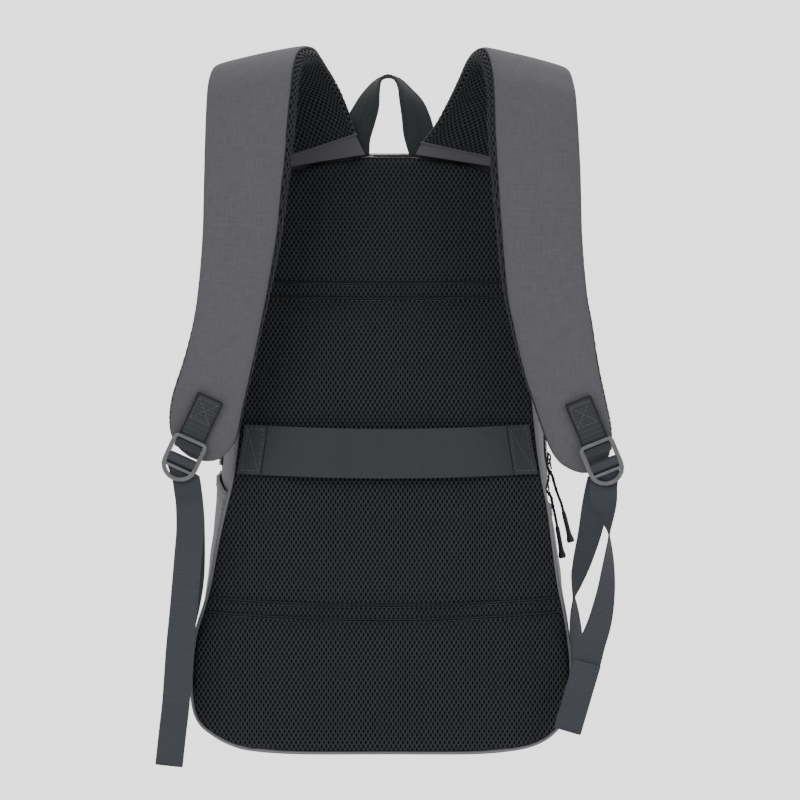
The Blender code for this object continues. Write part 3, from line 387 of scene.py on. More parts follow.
def slider_seat(height):
    """Middle of a slider's underside on the right wall, its outward and its run down."""
    at = walk_right(height)
    lift = GAP + ZIP_TAPE_THICK + GAP + ZIP_COIL_THICK + GAP
    middle = wall_point(at, ZIP_PLACE, lift)
    run = (wall_point(at + 0.05, ZIP_PLACE, lift) - wall_point(at - 0.05, ZIP_PLACE, lift))
    return middle, outline(at)[1], run.normalized()


def cord_points(rows, slider_height, steps=2):
    """The cord's middle line, from the lower end of its slider through its rows."""
    middle, outward, run = slider_seat(slider_height)
    start = middle + outward * SLIDER_THICK / 2 + run * (SLIDER_LENGTH / 2 + GAP)
    route = [start + run * PULL_CORD * 0.6 + outward * PULL_CORD * 0.3]
    route += [Vector((row.across * BODY_WIDTH, row.out * BODY_DEPTH,
                      body_z(1) + row.up * BODY_HEIGHT)) for row in rows]
    count = (len(route) - 1) * steps
    return [start] + [along(route, number / steps) for number in range(count + 1)]


PocketShape = namedtuple("PocketShape", "side mouth_back mouth_middle mouth_front")
LEFT_POCKET = PocketShape("left", 0.434, 0.458, 0.470)
RIGHT_POCKET = PocketShape("right", 0.396, 0.412, 0.424)
POCKET_BASE = 0.060
POCKET_BACK = 0.03
POCKET_FRONT = 0.90


def pocket_mouth(shape, depth_share):
    middle = mix(POCKET_BACK, POCKET_FRONT, 0.45)
    if depth_share < middle:
        return mix(shape.mouth_back, shape.mouth_middle,
                   ease((depth_share - POCKET_BACK) / (middle - POCKET_BACK)))
    return mix(shape.mouth_middle, shape.mouth_front,
               ease((depth_share - middle) / (POCKET_FRONT - middle)))


def pocket_walk(shape, height):
    return walk_left(height) if shape.side == "left" else walk_right(height)


def pocket_point(shape, depth_share, height, lift):
    at = pocket_walk(shape, height)
    room = along(WALK_POCKET, at, True) - along(WALK_BULGE, at, True)
    span = (depth_share - POCKET_BACK) / (POCKET_FRONT - POCKET_BACK)
    fullness = math.sin(math.pi * min(1.0, max(0.0, span))) ** 0.6
    room = max(0.0, room - POCKET_CLEAR - POCKET_WALL) * fullness
    base = ease((height - POCKET_BASE) / 0.08)
    return wall_point(at, depth_share, POCKET_CLEAR + room * base + lift)


def strap_place(rows, at):
    """The middle line of a strap or a webbing at a place between its rows."""
    return Vector((along(column(rows, "across"), at) * BODY_WIDTH,
                   -along(column(rows, "out"), at) * STRAP_REACH,
                   body_z(1) + along(column(rows, "up"), at) * BODY_HEIGHT))


Frame = namedtuple("Frame", "point across face breadth")


def strap_frames(rows, start, end, steps):
    """Middle, width direction and outer face direction of a strap between two of its rows."""
    side = -1 if rows[0].across < 0 else 1

    frames = []
    for number in range(steps + 1):
        at = mix(start, end, number / steps)
        lean = math.radians(along(column(rows, "lean"), at))
        turn = math.radians(along(column(rows, "face"), at))
        across = Vector((math.cos(turn) * math.cos(lean), side * math.sin(turn), math.sin(lean)))
        across.normalize()
        step = 0.05
        ahead = strap_place(rows, min(at + step, len(rows) - 1))
        run = ahead - strap_place(rows, max(at - step, 0))
        face = run.normalized().cross(across).normalized()
        frames.append(Frame(strap_place(rows, at), across, face,
                            along(column(rows, "breadth"), at)))
    return frames


PAD_RING = [(-0.50, -0.12), (-0.50, 0.12), (-0.47, 0.36), (-0.39, 0.49), (0.0, 0.56),
            (0.39, 0.49), (0.47, 0.36), (0.50, 0.12), (0.50, -0.12), (0.45, -0.42),
            (0.0, -0.50), (-0.45, -0.42)]


def buckle_frame(rows, seat):
    """Origin at the middle of the buckle's top edge, its across, down and outward directions.
    It lies in front of the pad's lower end, clear of the two layers of the tab."""
    pad = strap_frames(rows, seat.row, seat.row, 1)[0]
    out = pad.face
    middle = pad.point + out * (STRAP_THICK * 0.56 + GAP + STRAP_FACE)
    place = Vector((seat.across * BODY_WIDTH, 0, body_z(1) + seat.up * BODY_HEIGHT))
    place.y = middle.y - (out.x * (place.x - middle.x) + out.z * (place.z - middle.z)) / out.y
    origin = place + out * (tab_depth(1) + WEBBING_THICK / 2 + GAP)
    level = Vector((1, 0, 0))
    level = (level - out * level.dot(out)).normalized()
    down = level.cross(out)
    if down.z > 0:
        down = -down
    turn = math.radians(seat.roll)
    across = level * math.cos(turn) + down * math.sin(turn)
    down = down * math.cos(turn) - level * math.sin(turn)
    return origin, across, down, out


def tab_depth(layer):
    """How far behind the buckle's middle plane a layer of webbing lies: 0 is the nearer."""
    first = BUCKLE_THICK / 2 + GAP + WEBBING_THICK / 2 + GAP
    return first + layer * (WEBBING_THICK + GAP)


def buckle_levels():
    """Distances down the buckle where its bars begin and end."""
    pass_room = WEBBING_THICK + 2 * GAP + 0.0012
    rim = BUCKLE_BAR
    first_bar = rim + pass_room
    slit = first_bar + BUCKLE_BAR
    second_bar = slit + 0.0088
    third_window = second_bar + BUCKLE_BAR
    third_bar = third_window + pass_room + 0.0013
    lift_window = third_bar + BUCKLE_BAR
    return rim, first_bar, slit, second_bar, third_window, third_bar, lift_window


def rounded_box(half, top, low, corner):
    points = []
    corners = ((half - corner, top + corner, -90), (half - corner, low - corner, 0),
               (-half + corner, low - corner, 90), (-half + corner, top + corner, 180))
    for across, down, start in corners:
        for step in range(4):
            turn = math.radians(start + 30 * step)
            points.append((across + corner * math.cos(turn), down + corner * math.sin(turn)))
    return points


def buckle_outline(inset):
    """The frame's outline: rounded top corners, straight rails, and a round lift loop."""
    half = BUCKLE_WIDTH / 2 - inset
    corner = max(BUCKLE_CORNER - inset, 0.001)
    bend = BUCKLE_LENGTH * 0.63
    points = []
    for across, start in ((-half + corner, 180), (half - corner, 270)):
        for step in range(4):
            turn = math.radians(start + 30 * step)
            points.append((across + corner * math.cos(turn),
                           inset + corner + corner * math.sin(turn)))
    reach = BUCKLE_LENGTH - inset - bend
    for step in range(11):
        turn = math.pi * step / 10
        points.append((half * math.cos(turn), bend + reach * math.sin(turn)))
    return points


def lift_window_points(top):
    half = BUCKLE_WIDTH / 2 - BUCKLE_RAIL
    bend = BUCKLE_LENGTH * 0.63
    reach = BUCKLE_LENGTH - BUCKLE_RAIL - bend
    start = math.asin(min(0.95, (top - bend) / reach))
    return [(half * math.cos(mix(start, math.pi - start, step / 8)),
             bend + reach * math.sin(mix(start, math.pi - start, step / 8)))
            for step in range(9)]


def web_points(rows, steps=4):
    """Middle and width direction of webbing that hangs down through its rows."""
    count = (len(rows) - 1) * steps
    points = [strap_place(rows, number / steps) for number in range(count + 1)]
    acrosses = []
    for number, run in enumerate(tangents(points)):
        flat = run.cross(Vector((0, 1, 0))).normalized()
        twist = math.radians(along(column(rows, "twist"), number / steps))
        acrosses.append(flat * math.cos(twist) + run.cross(flat) * math.sin(twist))
    return points, acrosses


# Finishes

def linear(code):
    """A colour written as sRGB hex, in linear light."""
    channels = [int(code[place:place + 2], 16) / 255 for place in (1, 3, 5)]
    return tuple(value / 12.92 if value <= 0.04045 else ((value + 0.055) / 1.055) ** 2.4
                 for value in channels)


def add_node(tree, kind, inputs=None, **settings):
    """A shader node with its settings, and its inputs set or linked."""
    made = tree.nodes.new(kind)
    for name, value in settings.items():
        setattr(made, name, value)
    for name, value in (inputs or {}).items():
        if isinstance(value, bpy.types.NodeSocket):
            tree.links.new(value, made.inputs[name])
        else:
            made.inputs[name].default_value = value
    return made


def start_finish(name, roughness, metallic=0.0, sheen=0.0):
    made = bpy.data.materials.new(name)
    made.use_nodes = True
    tree = made.node_tree
    shader = tree.nodes["Principled BSDF"]
    shader.inputs["Roughness"].default_value = roughness
    shader.inputs["Metallic"].default_value = metallic
    shader.inputs["Sheen Weight"].default_value = sheen
    shader.inputs["Sheen Roughness"].default_value = 0.6
    return made, tree, shader


def coloured(tree, shader, field, colour, low, high):
    """Gives the shader its colour, darkened where a field is 0 and lightened where it is 1."""
    ramp = add_node(tree, "ShaderNodeValToRGB", {"Fac": field})
    for stop, level, place in zip(ramp.color_ramp.elements, (low, high), (0.3, 0.7)):
        stop.color = (*(min(1.0, value * level) for value in linear(colour)), 1.0)
        stop.position = place
    tree.links.new(ramp.outputs["Color"], shader.inputs["Base Color"])


def grains(tree, scale, detail):
    """Noise in the piece's own coordinates, scale grains to the metre."""
    place = add_node(tree, "ShaderNodeTexCoord").outputs["Object"]
    return add_node(tree, "ShaderNodeTexNoise",
                    {"Vector": place, "Scale": scale, "Detail": detail}).outputs["Fac"]


def arithmetic(tree, operation, first, second):
    return add_node(tree, "ShaderNodeMath", {0: first, 1: second}, operation=operation).outputs[0]


def stretched_noise(tree, place, scale, detail=2.0):
    """Noise whose grains are longer one way: scale is grains per metre along u and v."""
    mapped = add_node(tree, "ShaderNodeMapping", {"Vector": place, "Scale": (*scale, 1.0)})
    return add_node(tree, "ShaderNodeTexNoise",
                    {"Vector": mapped.outputs[0], "Scale": 1.0, "Detail": detail}).outputs["Fac"]


def waves(tree, place, pitch, direction):
    """Even ridges across u (X) or along v (Y), a pitch apart."""
    return add_node(tree, "ShaderNodeTexWave", {"Vector": place, "Scale": math.tau / 20 / pitch},
                    bands_direction=direction, wave_profile="SIN").outputs["Fac"]


def bumped(tree, shader, height, depth, strength=1.0):
    bump = add_node(tree, "ShaderNodeBump", {"Height": height, "Distance": depth,
                                             "Strength": strength})
    tree.links.new(bump.outputs[0], shader.inputs["Normal"])


def woven_polyester(name, colour, contrast=0.10):
    """Plain-woven polyester: crossed threads 0.6 mm apart with short slubs both ways, which
    give the gray its linen-like streaks, and a soft sheen at grazing angles."""
    made, tree, shader = start_finish(name, 0.82, sheen=0.12)
    place = add_node(tree, "ShaderNodeUVMap").outputs["UV"]
    warp = stretched_noise(tree, place, (900, 130))
    weft = stretched_noise(tree, place, (130, 900))
    broad = stretched_noise(tree, place, (11, 9), 3.0)
    streaks = arithmetic(tree, "MULTIPLY", arithmetic(tree, "ADD", warp, weft), 0.42)
    field = arithmetic(tree, "ADD", streaks, arithmetic(tree, "MULTIPLY", broad, 0.16))
    coloured(tree, shader, field, colour, 1 - contrast, 1 + contrast)
    threads = arithmetic(tree, "ADD", waves(tree, place, 0.0006, "X"),
                         waves(tree, place, 0.0006, "Y"))
    height = arithmetic(tree, "ADD", arithmetic(tree, "MULTIPLY", threads, 0.5), streaks)
    bumped(tree, shader, height, 0.00012, 0.6)
    return made


def knitted_yarn(name, colour):
    """Yarn of the openwork mesh: matte filament with fine loops along the ribs."""
    made, tree, shader = start_finish(name, 0.62, sheen=0.15)
    grain = grains(tree, 1900.0, 1.0)
    coloured(tree, shader, grain, colour, 0.72, 1.32)
    bumped(tree, shader, grain, 0.00015, 0.7)
    return made


def spacer_foam(name, colour):
    """Dark knitted foam seen through the mesh's holes: nearly black, partly as painted shade in the
    holes, with a fine tangle.
    """
    made, tree, shader = start_finish(name, 0.95)
    tangle = grains(tree, 1200.0, 2.0)
    coloured(tree, shader, tangle, colour, 0.6, 1.4)
    bumped(tree, shader, tangle, 0.0003, 0.6)
    return made


def ribbed_webbing(name, colour, rib=0.0011):
    """Flat webbing: rounded cross ribs with lengthwise yarns between them."""
    made, tree, shader = start_finish(name, 0.7, sheen=0.1)
    place = add_node(tree, "ShaderNodeUVMap").outputs["UV"]
    ribs = waves(tree, place, rib, "Y")
    yarns = waves(tree, place, 0.0009, "X")
    grain = stretched_noise(tree, place, (900, 500))
    height = arithmetic(tree, "ADD", ribs, arithmetic(tree, "MULTIPLY", yarns, 0.5))
    field = arithmetic(tree, "ADD", arithmetic(tree, "MULTIPLY", height, 0.4),
                       arithmetic(tree, "MULTIPLY", grain, 0.4))
    coloured(tree, shader, field, colour, 0.78, 1.2)
    bumped(tree, shader, height, 0.00022, 0.8)
    return made


def herringbone_webbing(name, colour):
    """Twill webbing: slanting ribs that mirror about its middle line, where a seam shows dark."""
    made, tree, shader = start_finish(name, 0.7, sheen=0.1)
    place = add_node(tree, "ShaderNodeUVMap").outputs["UV"]
    parts = add_node(tree, "ShaderNodeSeparateXYZ", {"Vector": place})
    side = arithmetic(tree, "ABSOLUTE", parts.outputs["X"], 0.0)
    slant = arithmetic(tree, "ADD", side, parts.outputs["Y"])
    turned = add_node(tree, "ShaderNodeCombineXYZ", {"X": slant, "Y": side}).outputs[0]
    ribs = waves(tree, turned, 0.0015, "X")
    grain = stretched_noise(tree, place, (700, 400))
    middle = add_node(tree, "ShaderNodeMapRange",
                      {"Value": side, "From Min": 0.0002, "From Max": 0.0008}).outputs[0]
    height = arithmetic(tree, "MULTIPLY", ribs, middle)
    field = arithmetic(tree, "ADD", arithmetic(tree, "MULTIPLY", height, 0.55),
                       arithmetic(tree, "MULTIPLY", grain, 0.4))
    coloured(tree, shader, field, colour, 0.7, 1.25)
    bumped(tree, shader, height, 0.00025, 0.8)
    return made


def sewing_thread(name, colour):
    """Twisted polyester thread: a faint gloss, with its lay showing as a fine grain."""
    made, tree, shader = start_finish(name, 0.45)
    lay = grains(tree, 2600.0, 0.0)
    coloured(tree, shader, lay, colour, 0.75, 1.25)
    bumped(tree, shader, lay, 0.0001, 0.6)
    return made


def moulded(name, colour, roughness, grain_size=0.0005, metallic=0.0):
    """Moulded or coated hard pieces: an even colour with a faint grain that breaks the gloss."""
    made, tree, shader = start_finish(name, roughness, metallic)
    grain = grains(tree, 1 / grain_size, 2.0)
    wear = grains(tree, 160.0, 3.0)
    coloured(tree, shader, wear, colour, 0.88, 1.12)
    bumped(tree, shader, grain, 0.00004, 0.5)
    return made


def braided_cord(name, colour):
    """Round braid: crossed slanting strands round the cord."""
    made, tree, shader = start_finish(name, 0.65)
    place = add_node(tree, "ShaderNodeTexCoord").outputs["Object"]
    strands = add_node(tree, "ShaderNodeTexWave", {"Vector": place, "Scale": 320.0},
                       bands_direction="DIAGONAL").outputs["Fac"]
    coloured(tree, shader, strands, colour, 0.7, 1.4)
    bumped(tree, shader, strands, 0.0002, 0.8)
    return made


def plain_floor(name, colour):
    """Studio floor of painted board: nearly white, with a faint unevenness."""
    made, tree, shader = start_finish(name, 0.9)
    cloud = grains(tree, 1.5, 2.0)
    coloured(tree, shader, cloud, colour, 0.985, 1.0)
    return made


# each finish: its material slot, its maker, the material's name, the colour it takes from the
# look, and the maker's other values
FINISHES = {
    # the walls, front, pockets and piping take a lighter copy of the straps' gray cloth: painted
    # light, as if lit from the side
    "polyester": ("polyester", woven_polyester, "gray_polyester", "polyester"),
    "strap": ("polyester", woven_polyester, "strap_polyester", "strap", 0.16),
    "pocket": ("polyester", woven_polyester, "pocket_polyester", "polyester", 0.14),
    "yoke": ("polyester", woven_polyester, "yoke_polyester", "yoke"),
    "yarn": ("air_mesh", knitted_yarn, "mesh_yarn", "mesh"),
    # the foam's near-black is partly its own colour and partly painted shade in the mesh's holes
    "foam": ("air_mesh", spacer_foam, "mesh_backing", "backing"),
    "webbing": ("webbing", ribbed_webbing, "ribbed_webbing", "webbing"),
    "band": ("webbing", ribbed_webbing, "band_webbing", "band", 0.0015),
    "tab": ("webbing", ribbed_webbing, "tab_webbing", "band", 0.0015),
    "haul": ("webbing", herringbone_webbing, "haul_webbing", "haul"),
    "thread": ("webbing", sewing_thread, "dark_thread", "thread"),
    # black cords of painted shade: at the panel's channels, where they also stand for the seams,
    # and where the band leaves its sewn ends
    "seam": ("webbing", sewing_thread, "black_thread", "backing"),
    "mesh_thread": ("webbing", sewing_thread, "mesh_thread", "webbing"),
    "light_thread": ("polyester", sewing_thread, "gray_thread", "light_thread"),
    "zip": ("zip", ribbed_webbing, "zip_tape_weave", "zip", 0.0007),
    "teeth": ("zip", moulded, "zip_teeth_nylon", "zip", 0.4),
    "slider": ("slider", moulded, "slider_paint", "zip", 0.35, 0.0008, 0.3),
    "cord": ("zip", braided_cord, "pull_cord_braid", "zip"),
    "grip": ("grip", moulded, "grip_rubber", "grip", 0.6),
    "buckle": ("buckle", moulded, "buckle_enamel", "buckle", 0.38, 0.0006, 0.55),
}
MADE = {}


def finish(kind):
    """One of the backpack's finishes, made on first use."""
    if kind not in MADE:
        _, make, name, colour, *values = FINISHES[kind]
        MADE[kind] = make(name, getattr(bpy.context.scene.backpack_look, colour), *values)
    return MADE[kind]


# Making pieces

def settle(item, kind, nodes):
    """Give a piece its finish, body and material slot, and hide the frame nodes it stands for."""
    item.data.materials.append(finish(kind))
    bpy.context.scene.collection.objects.link(item)
    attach(item, "root")
    if nodes:
        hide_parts(*nodes)
    return item


def keep(bm, name, kind, nodes=(), levels=0, sharp=45):
    bmesh.ops.recalc_face_normals(bm, faces=bm.faces[:])
    mesh = bpy.data.meshes.new(name)
    bm.to_mesh(mesh)
    bm.free()
    mesh.shade_smooth()
    mesh.set_sharp_from_angle(angle=math.radians(sharp))
    item = bpy.data.objects.new(name, mesh)
    if levels:
        smoother = item.modifiers.new("smooth", "SUBSURF")
        smoother.levels = levels
        smoother.render_levels = levels
    return settle(item, kind, nodes)


def cloth(name, kind, columns, rows, front, back, size, nodes=(), sharp=60):
    """A thin closed solid from a grid, its two sides by functions of a share across and a share
    along; its UV is in metres with u = 0 on the middle line."""
    bm = bmesh.new()
    layer = bm.loops.layers.uv.new("UVMap")
    bmesh.ops.create_grid(bm, x_segments=columns, y_segments=rows, size=1.0)
    for face in bm.faces:
        for loop in face.loops:
            loop[layer].uv = (loop.vert.co.x * size[0] / 2, (loop.vert.co.y + 1) / 2 * size[1])
    grown = bmesh.ops.extrude_face_region(bm, geom=bm.faces[:], use_keep_orig=True)
    back_side = {item for item in grown["geom"] if isinstance(item, bmesh.types.BMVert)}
    for vert in bm.verts:
        across = (vert.co.x + 1) / 2
        upward = (vert.co.y + 1) / 2
        vert.co = (back if vert in back_side else front)(across, upward)
    return keep(bm, name, kind, nodes, sharp=sharp)


def loft(name, kind, sections, nodes=(), levels=0, sharp=60):
    """A closed solid through rings of points."""
    bm = bmesh.new()
    cap = bm.faces.new([bm.verts.new(point) for point in sections[0]])
    for number, section in enumerate(sections[1:]):
        grown = bmesh.ops.extrude_face_region(bm, geom=[cap], use_keep_orig=True)
        if number > 0:
            bmesh.ops.delete(bm, geom=[cap], context="FACES_ONLY")
        cap = [item for item in grown["geom"] if isinstance(item, bmesh.types.BMFace)][0]
        for vert, point in zip(cap.verts, section):
            vert.co = point
    return keep(bm, name, kind, nodes, levels, sharp)


def strip(name, kind, points, acrosses, width, thick, nodes=(), columns=6, crown=0.0):
    """Flat webbing along a path, its edges thinner than its middle."""
    runs = tangents(points)
    length = route_length(points)

    def side(sign):
        def at(across, upward):
            number = round(upward * (len(points) - 1))
            face = runs[number].cross(acrosses[number]).normalized()
            edge = abs(2 * across - 1)
            half = thick / 2 * (1 - 0.45 * edge ** 8)
            belly_out = crown * (1 - edge ** 2)
            return (points[number] + acrosses[number] * ((across - 0.5) * width)
                    + face * (sign * half + belly_out))
        return at

    return cloth(name, kind, columns, len(points) - 1, side(1), side(-1), (width, length), nodes)


def round_cord(name, kind, points, diameter, nodes=(), closed=False, resolution=3):
    curve = bpy.data.curves.new(name, "CURVE")
    curve.dimensions = "3D"
    curve.bevel_depth = diameter / 2
    curve.bevel_resolution = resolution
    curve.use_fill_caps = True
    spline = curve.splines.new("POLY")
    spline.points.add(len(points) - 1)
    for slot, point in zip(spline.points, points):
        slot.co = (*point, 1.0)
    spline.use_cyclic_u = closed
    return settle(bpy.data.objects.new(name, curve), kind, nodes)


def spaced(points, normals, spacing, start=0.0):
    """Places an even distance apart along a path: point, run and normal."""
    places = []
    wanted = start
    passed = 0.0
    for number in range(len(points) - 1):
        reach = (points[number + 1] - points[number]).length
        while reach > 0 and wanted <= passed + reach:
            share = (wanted - passed) / reach
            places.append((points[number].lerp(points[number + 1], share),
                           (points[number + 1] - points[number]).normalized(),
                           normals[number].lerp(normals[number + 1], share).normalized()))
            wanted += spacing
        passed += reach
    return places


def add_stitches(bm, points, normals, length=0.0026, gap=0.0013, thick=0.0006):
    """Thread stitches along a path, each a flattened bar that dips into the cloth."""
    for point, run, normal in spaced(points, normals, length + gap, (length + gap) / 2):
        side = run.cross(normal).normalized()
        normal = side.cross(run).normalized()
        place = placed(point, side, normal, run) @ Matrix.Diagonal((1.0, 0.75, 1.0, 1.0))
        made = bmesh.ops.create_cone(bm, cap_ends=True, segments=6, radius1=thick / 2,
                                     radius2=thick / 2, depth=length, matrix=place)
        ends = [vert for vert in made["verts"] if abs((vert.co - point).dot(run)) > length * 0.4]
        for vert in ends:
            vert.co -= normal * thick * 0.35


FINE_STITCH = {"length": 0.0026, "gap": 0.0014, "thick": 0.0005}


def stitches(name, kind, paths, **sizes):
    bm = bmesh.new()
    for points, normals in paths:
        add_stitches(bm, points, normals, **sizes)
    return keep(bm, name, kind, sharp=80)


def openwork(name, width, length, place, inside, pitch, row_step, hole, nodes=()):
    """Openwork mesh: a brick grid whose cells are inset, opened and laid on a surface. place
    gives the point for a distance across, a distance along and a height above it."""
    columns = 2 * math.ceil(width / pitch)
    rows = math.ceil(length / row_step)
    bm = bmesh.new()
    bmesh.ops.create_grid(bm, x_segments=columns, y_segments=rows, size=1.0)
    seams = []
    for edge in bm.edges:
        low, high = edge.verts
        if abs(low.co.x - high.co.x) < 1e-6:
            line = round((low.co.x + 1) / 2 * columns)
            row = math.floor(((low.co.y + high.co.y) / 2 + 1) / 2 * rows)
            if 0 < line < columns and (line + row) % 2 == 1:
                seams.append(edge)
    bmesh.ops.dissolve_edges(bm, edges=seams, use_verts=False)
    slant = row_step * 0.17
    for vert in bm.verts:
        line = round((vert.co.x + 1) / 2 * columns)
        row = round((vert.co.y + 1) / 2 * rows)
        vert.co = ((line - columns / 2) * pitch / 2, 1.0,
                   row * row_step + (slant if (line + row) % 2 == 0 else -slant))
    outside = [face for face in bm.faces if not inside(face.calc_center_median())]
    bmesh.ops.delete(bm, geom=outside, context="FACES")
    cells = bm.faces[:]
    bmesh.ops.inset_individual(bm, faces=cells, thickness=pitch * 0.1)
    for cell in cells:
        middle = cell.calc_center_median()
        for vert in cell.verts:
            away = vert.co - middle
            turn = math.atan2(away.z, away.x)
            vert.co = (middle.x + hole[0] / 2 * math.cos(turn), -1.0,
                       middle.z + hole[1] / 2 * math.sin(turn))
    bmesh.ops.delete(bm, geom=cells, context="FACES_ONLY")
    crest = bpy.context.scene.backpack_look.rib_height
    for vert in bm.verts:
        vert.co = place(vert.co.x, vert.co.z, crest if vert.co.y > 0 else -crest * 0.4)
    return keep(bm, name, "yarn", nodes, sharp=89)


def ripple(point, size, depth):
    """Soft unevenness of cloth, the same at each run."""
    return depth * noise.noise(point / size)


# Back panel

MESH_LOW = -HAUL_RISE - BODY_HEIGHT
# low and high edge of each sewn channel in the panel, and its sag at the middle, as heights
CHANNELS = [(0.2350, 0.2590, 0.0125), (0.7665, 0.7915, 0.004)]


def panel_fullness(height, across):
    """How far the padding stands out at a height, with its two sewn channels."""
    full = 1.0
    for low, high, sag in CHANNELS:
        middle = sag * (1 - (2 * across - 1) ** 2)
        bottom = low - middle
        top = high - middle
        away = max(bottom - height, height - top, 0.0)
        full = min(full, 0.16 + 0.84 * ease(away / 0.034) ** 0.62)
    edge = min(height, 1 - height)
    return full * min(1.0, (edge / 0.075) ** 0.55)


def padding_point(across, height):
    left, right = panel_edges(height)
    point = left.lerp(right, across)
    crown = max(0.0, 1 - abs(2 * across - 1) ** 3.4) ** 0.7
    point.y = -PANEL_EDGE - (PANEL_CROWN - 0.001) * crown * panel_fullness(height, across)
    return point


SWELL_PRESSURE = -1.2
SWELL_CAP = 0.0028         # how far the simulation may move a point
SWELL_FRAMES = 20
EVEN_ROUNDS = 4            # times the moves are evened out between neighbours


def swell(mesh, pins):
    """Cloth simulation of a padded sheet held at its seams; caps how far a point may move."""
    item = bpy.data.objects.new("swelling", mesh)
    bpy.context.scene.collection.objects.link(item)
    group = item.vertex_groups.new(name="seams")
    group.add(pins, 1.0, "REPLACE")
    before = [vert.co.copy() for vert in mesh.vertices]
    modifier = item.modifiers.new("cloth", "CLOTH")
    settings = modifier.settings
    settings.quality = 6
    settings.mass = 0.25
    settings.tension_stiffness = 25
    settings.compression_stiffness = 25
    settings.bending_stiffness = 0.6
    settings.vertex_group_mass = "seams"
    settings.shrink_min = -0.035
    settings.use_pressure = True
    settings.uniform_pressure_force = SWELL_PRESSURE
    settings.effector_weights.gravity = 0.0
    modifier.collision_settings.use_collision = False
    modifier.point_cache.frame_start = 1
    modifier.point_cache.frame_end = SWELL_FRAMES
    scene = bpy.context.scene
    for number in range(1, SWELL_FRAMES + 1):
        scene.frame_set(number)
    settled = item.evaluated_get(bpy.context.evaluated_depsgraph_get()).to_mesh()
    after = [vert.co.copy() for vert in settled.vertices]
    item.modifiers.clear()
    scene.frame_set(1)
    moves = [(new - old) * min(1.0, SWELL_CAP / max((new - old).length, 1e-9))
             for old, new in zip(before, after)]
    for _ in range(EVEN_ROUNDS):
        moves = evened(mesh, moves, set(pins))
    for vert, old, move in zip(mesh.vertices, before, moves):
        vert.co = old + move
    bpy.data.objects.remove(item)
    return mesh


def evened(mesh, moves, sewn):
    """The moves with each free point drawn halfway to the mean of its neighbours."""
    around = [[] for _ in moves]
    for edge in mesh.edges:
        low, high = edge.vertices
        around[low].append(moves[high])
        around[high].append(moves[low])
    return [move if number in sewn else (move + sum(near, Vector()) / len(near)) / 2
            for number, (move, near) in enumerate(zip(moves, around))]


def swollen_panel(columns, rows):
    """The panel's padded front as a sheet, pinned at its edge and along its sewn channels."""
    bm = bmesh.new()
    bmesh.ops.create_grid(bm, x_segments=columns, y_segments=rows, size=1.0)
    pins = []
    for vert in bm.verts:
        across = (vert.co.x + 1) / 2
        height = (vert.co.y + 1) / 2
        sewn = any(low - sag * (1 - (2 * across - 1) ** 2) - 0.006 < height
                   < high - sag * (1 - (2 * across - 1) ** 2) + 0.006
                   for low, high, sag in CHANNELS)
        if sewn or across < 0.001 or across > 0.999 or height < 0.001 or height > 0.999:
            pins.append(vert.index)
        shift = 0.5 - 0.5 * math.cos(math.pi * across)
        vert.co = padding_point(mix(across, shift, 0.35), height)
    bm.verts.index_update()
    mesh = bpy.data.meshes.new("panel_sheet")
    bm.to_mesh(mesh)
    bm.free()
    swell(mesh, pins)
    return mesh


class PanelSkin:
    """The padded front of the panel, read from a mesh by rays along Y."""

    def __init__(self):
        mesh = swollen_panel(46, 74)
        points = [vert.co.copy() for vert in mesh.vertices]
        faces = [list(face.vertices) for face in mesh.polygons]
        self.tree = BVHTree.FromPolygons(points, faces)
        self.mesh = mesh

    def depth(self, x, z):
        hit = self.tree.ray_cast(Vector((x, -0.2, z)), Vector((0, 1, 0)))
        return hit[0].y if hit[0] is not None else -PANEL_EDGE

    def limits(self, z):
        height = min(1.0, max(0.0, (z - body_z(0)) / BODY_HEIGHT))
        left, right = panel_edges(height)
        return left.x, right.x

    def point(self, x, z, lift):
        """The nearest place on the panel's front inside its sewn edge."""
        z = min(body_z(1) - 0.0006, max(body_z(0) + 0.0006, z))
        left, right = self.limits(z)
        x = min(right - 0.0006, max(left + 0.0006, x))
        return Vector((x, self.depth(x, z) - lift, z))


SKIN = {}


def panel_skin():
    if "panel" not in SKIN:
        SKIN["panel"] = PanelSkin()
    return SKIN["panel"]


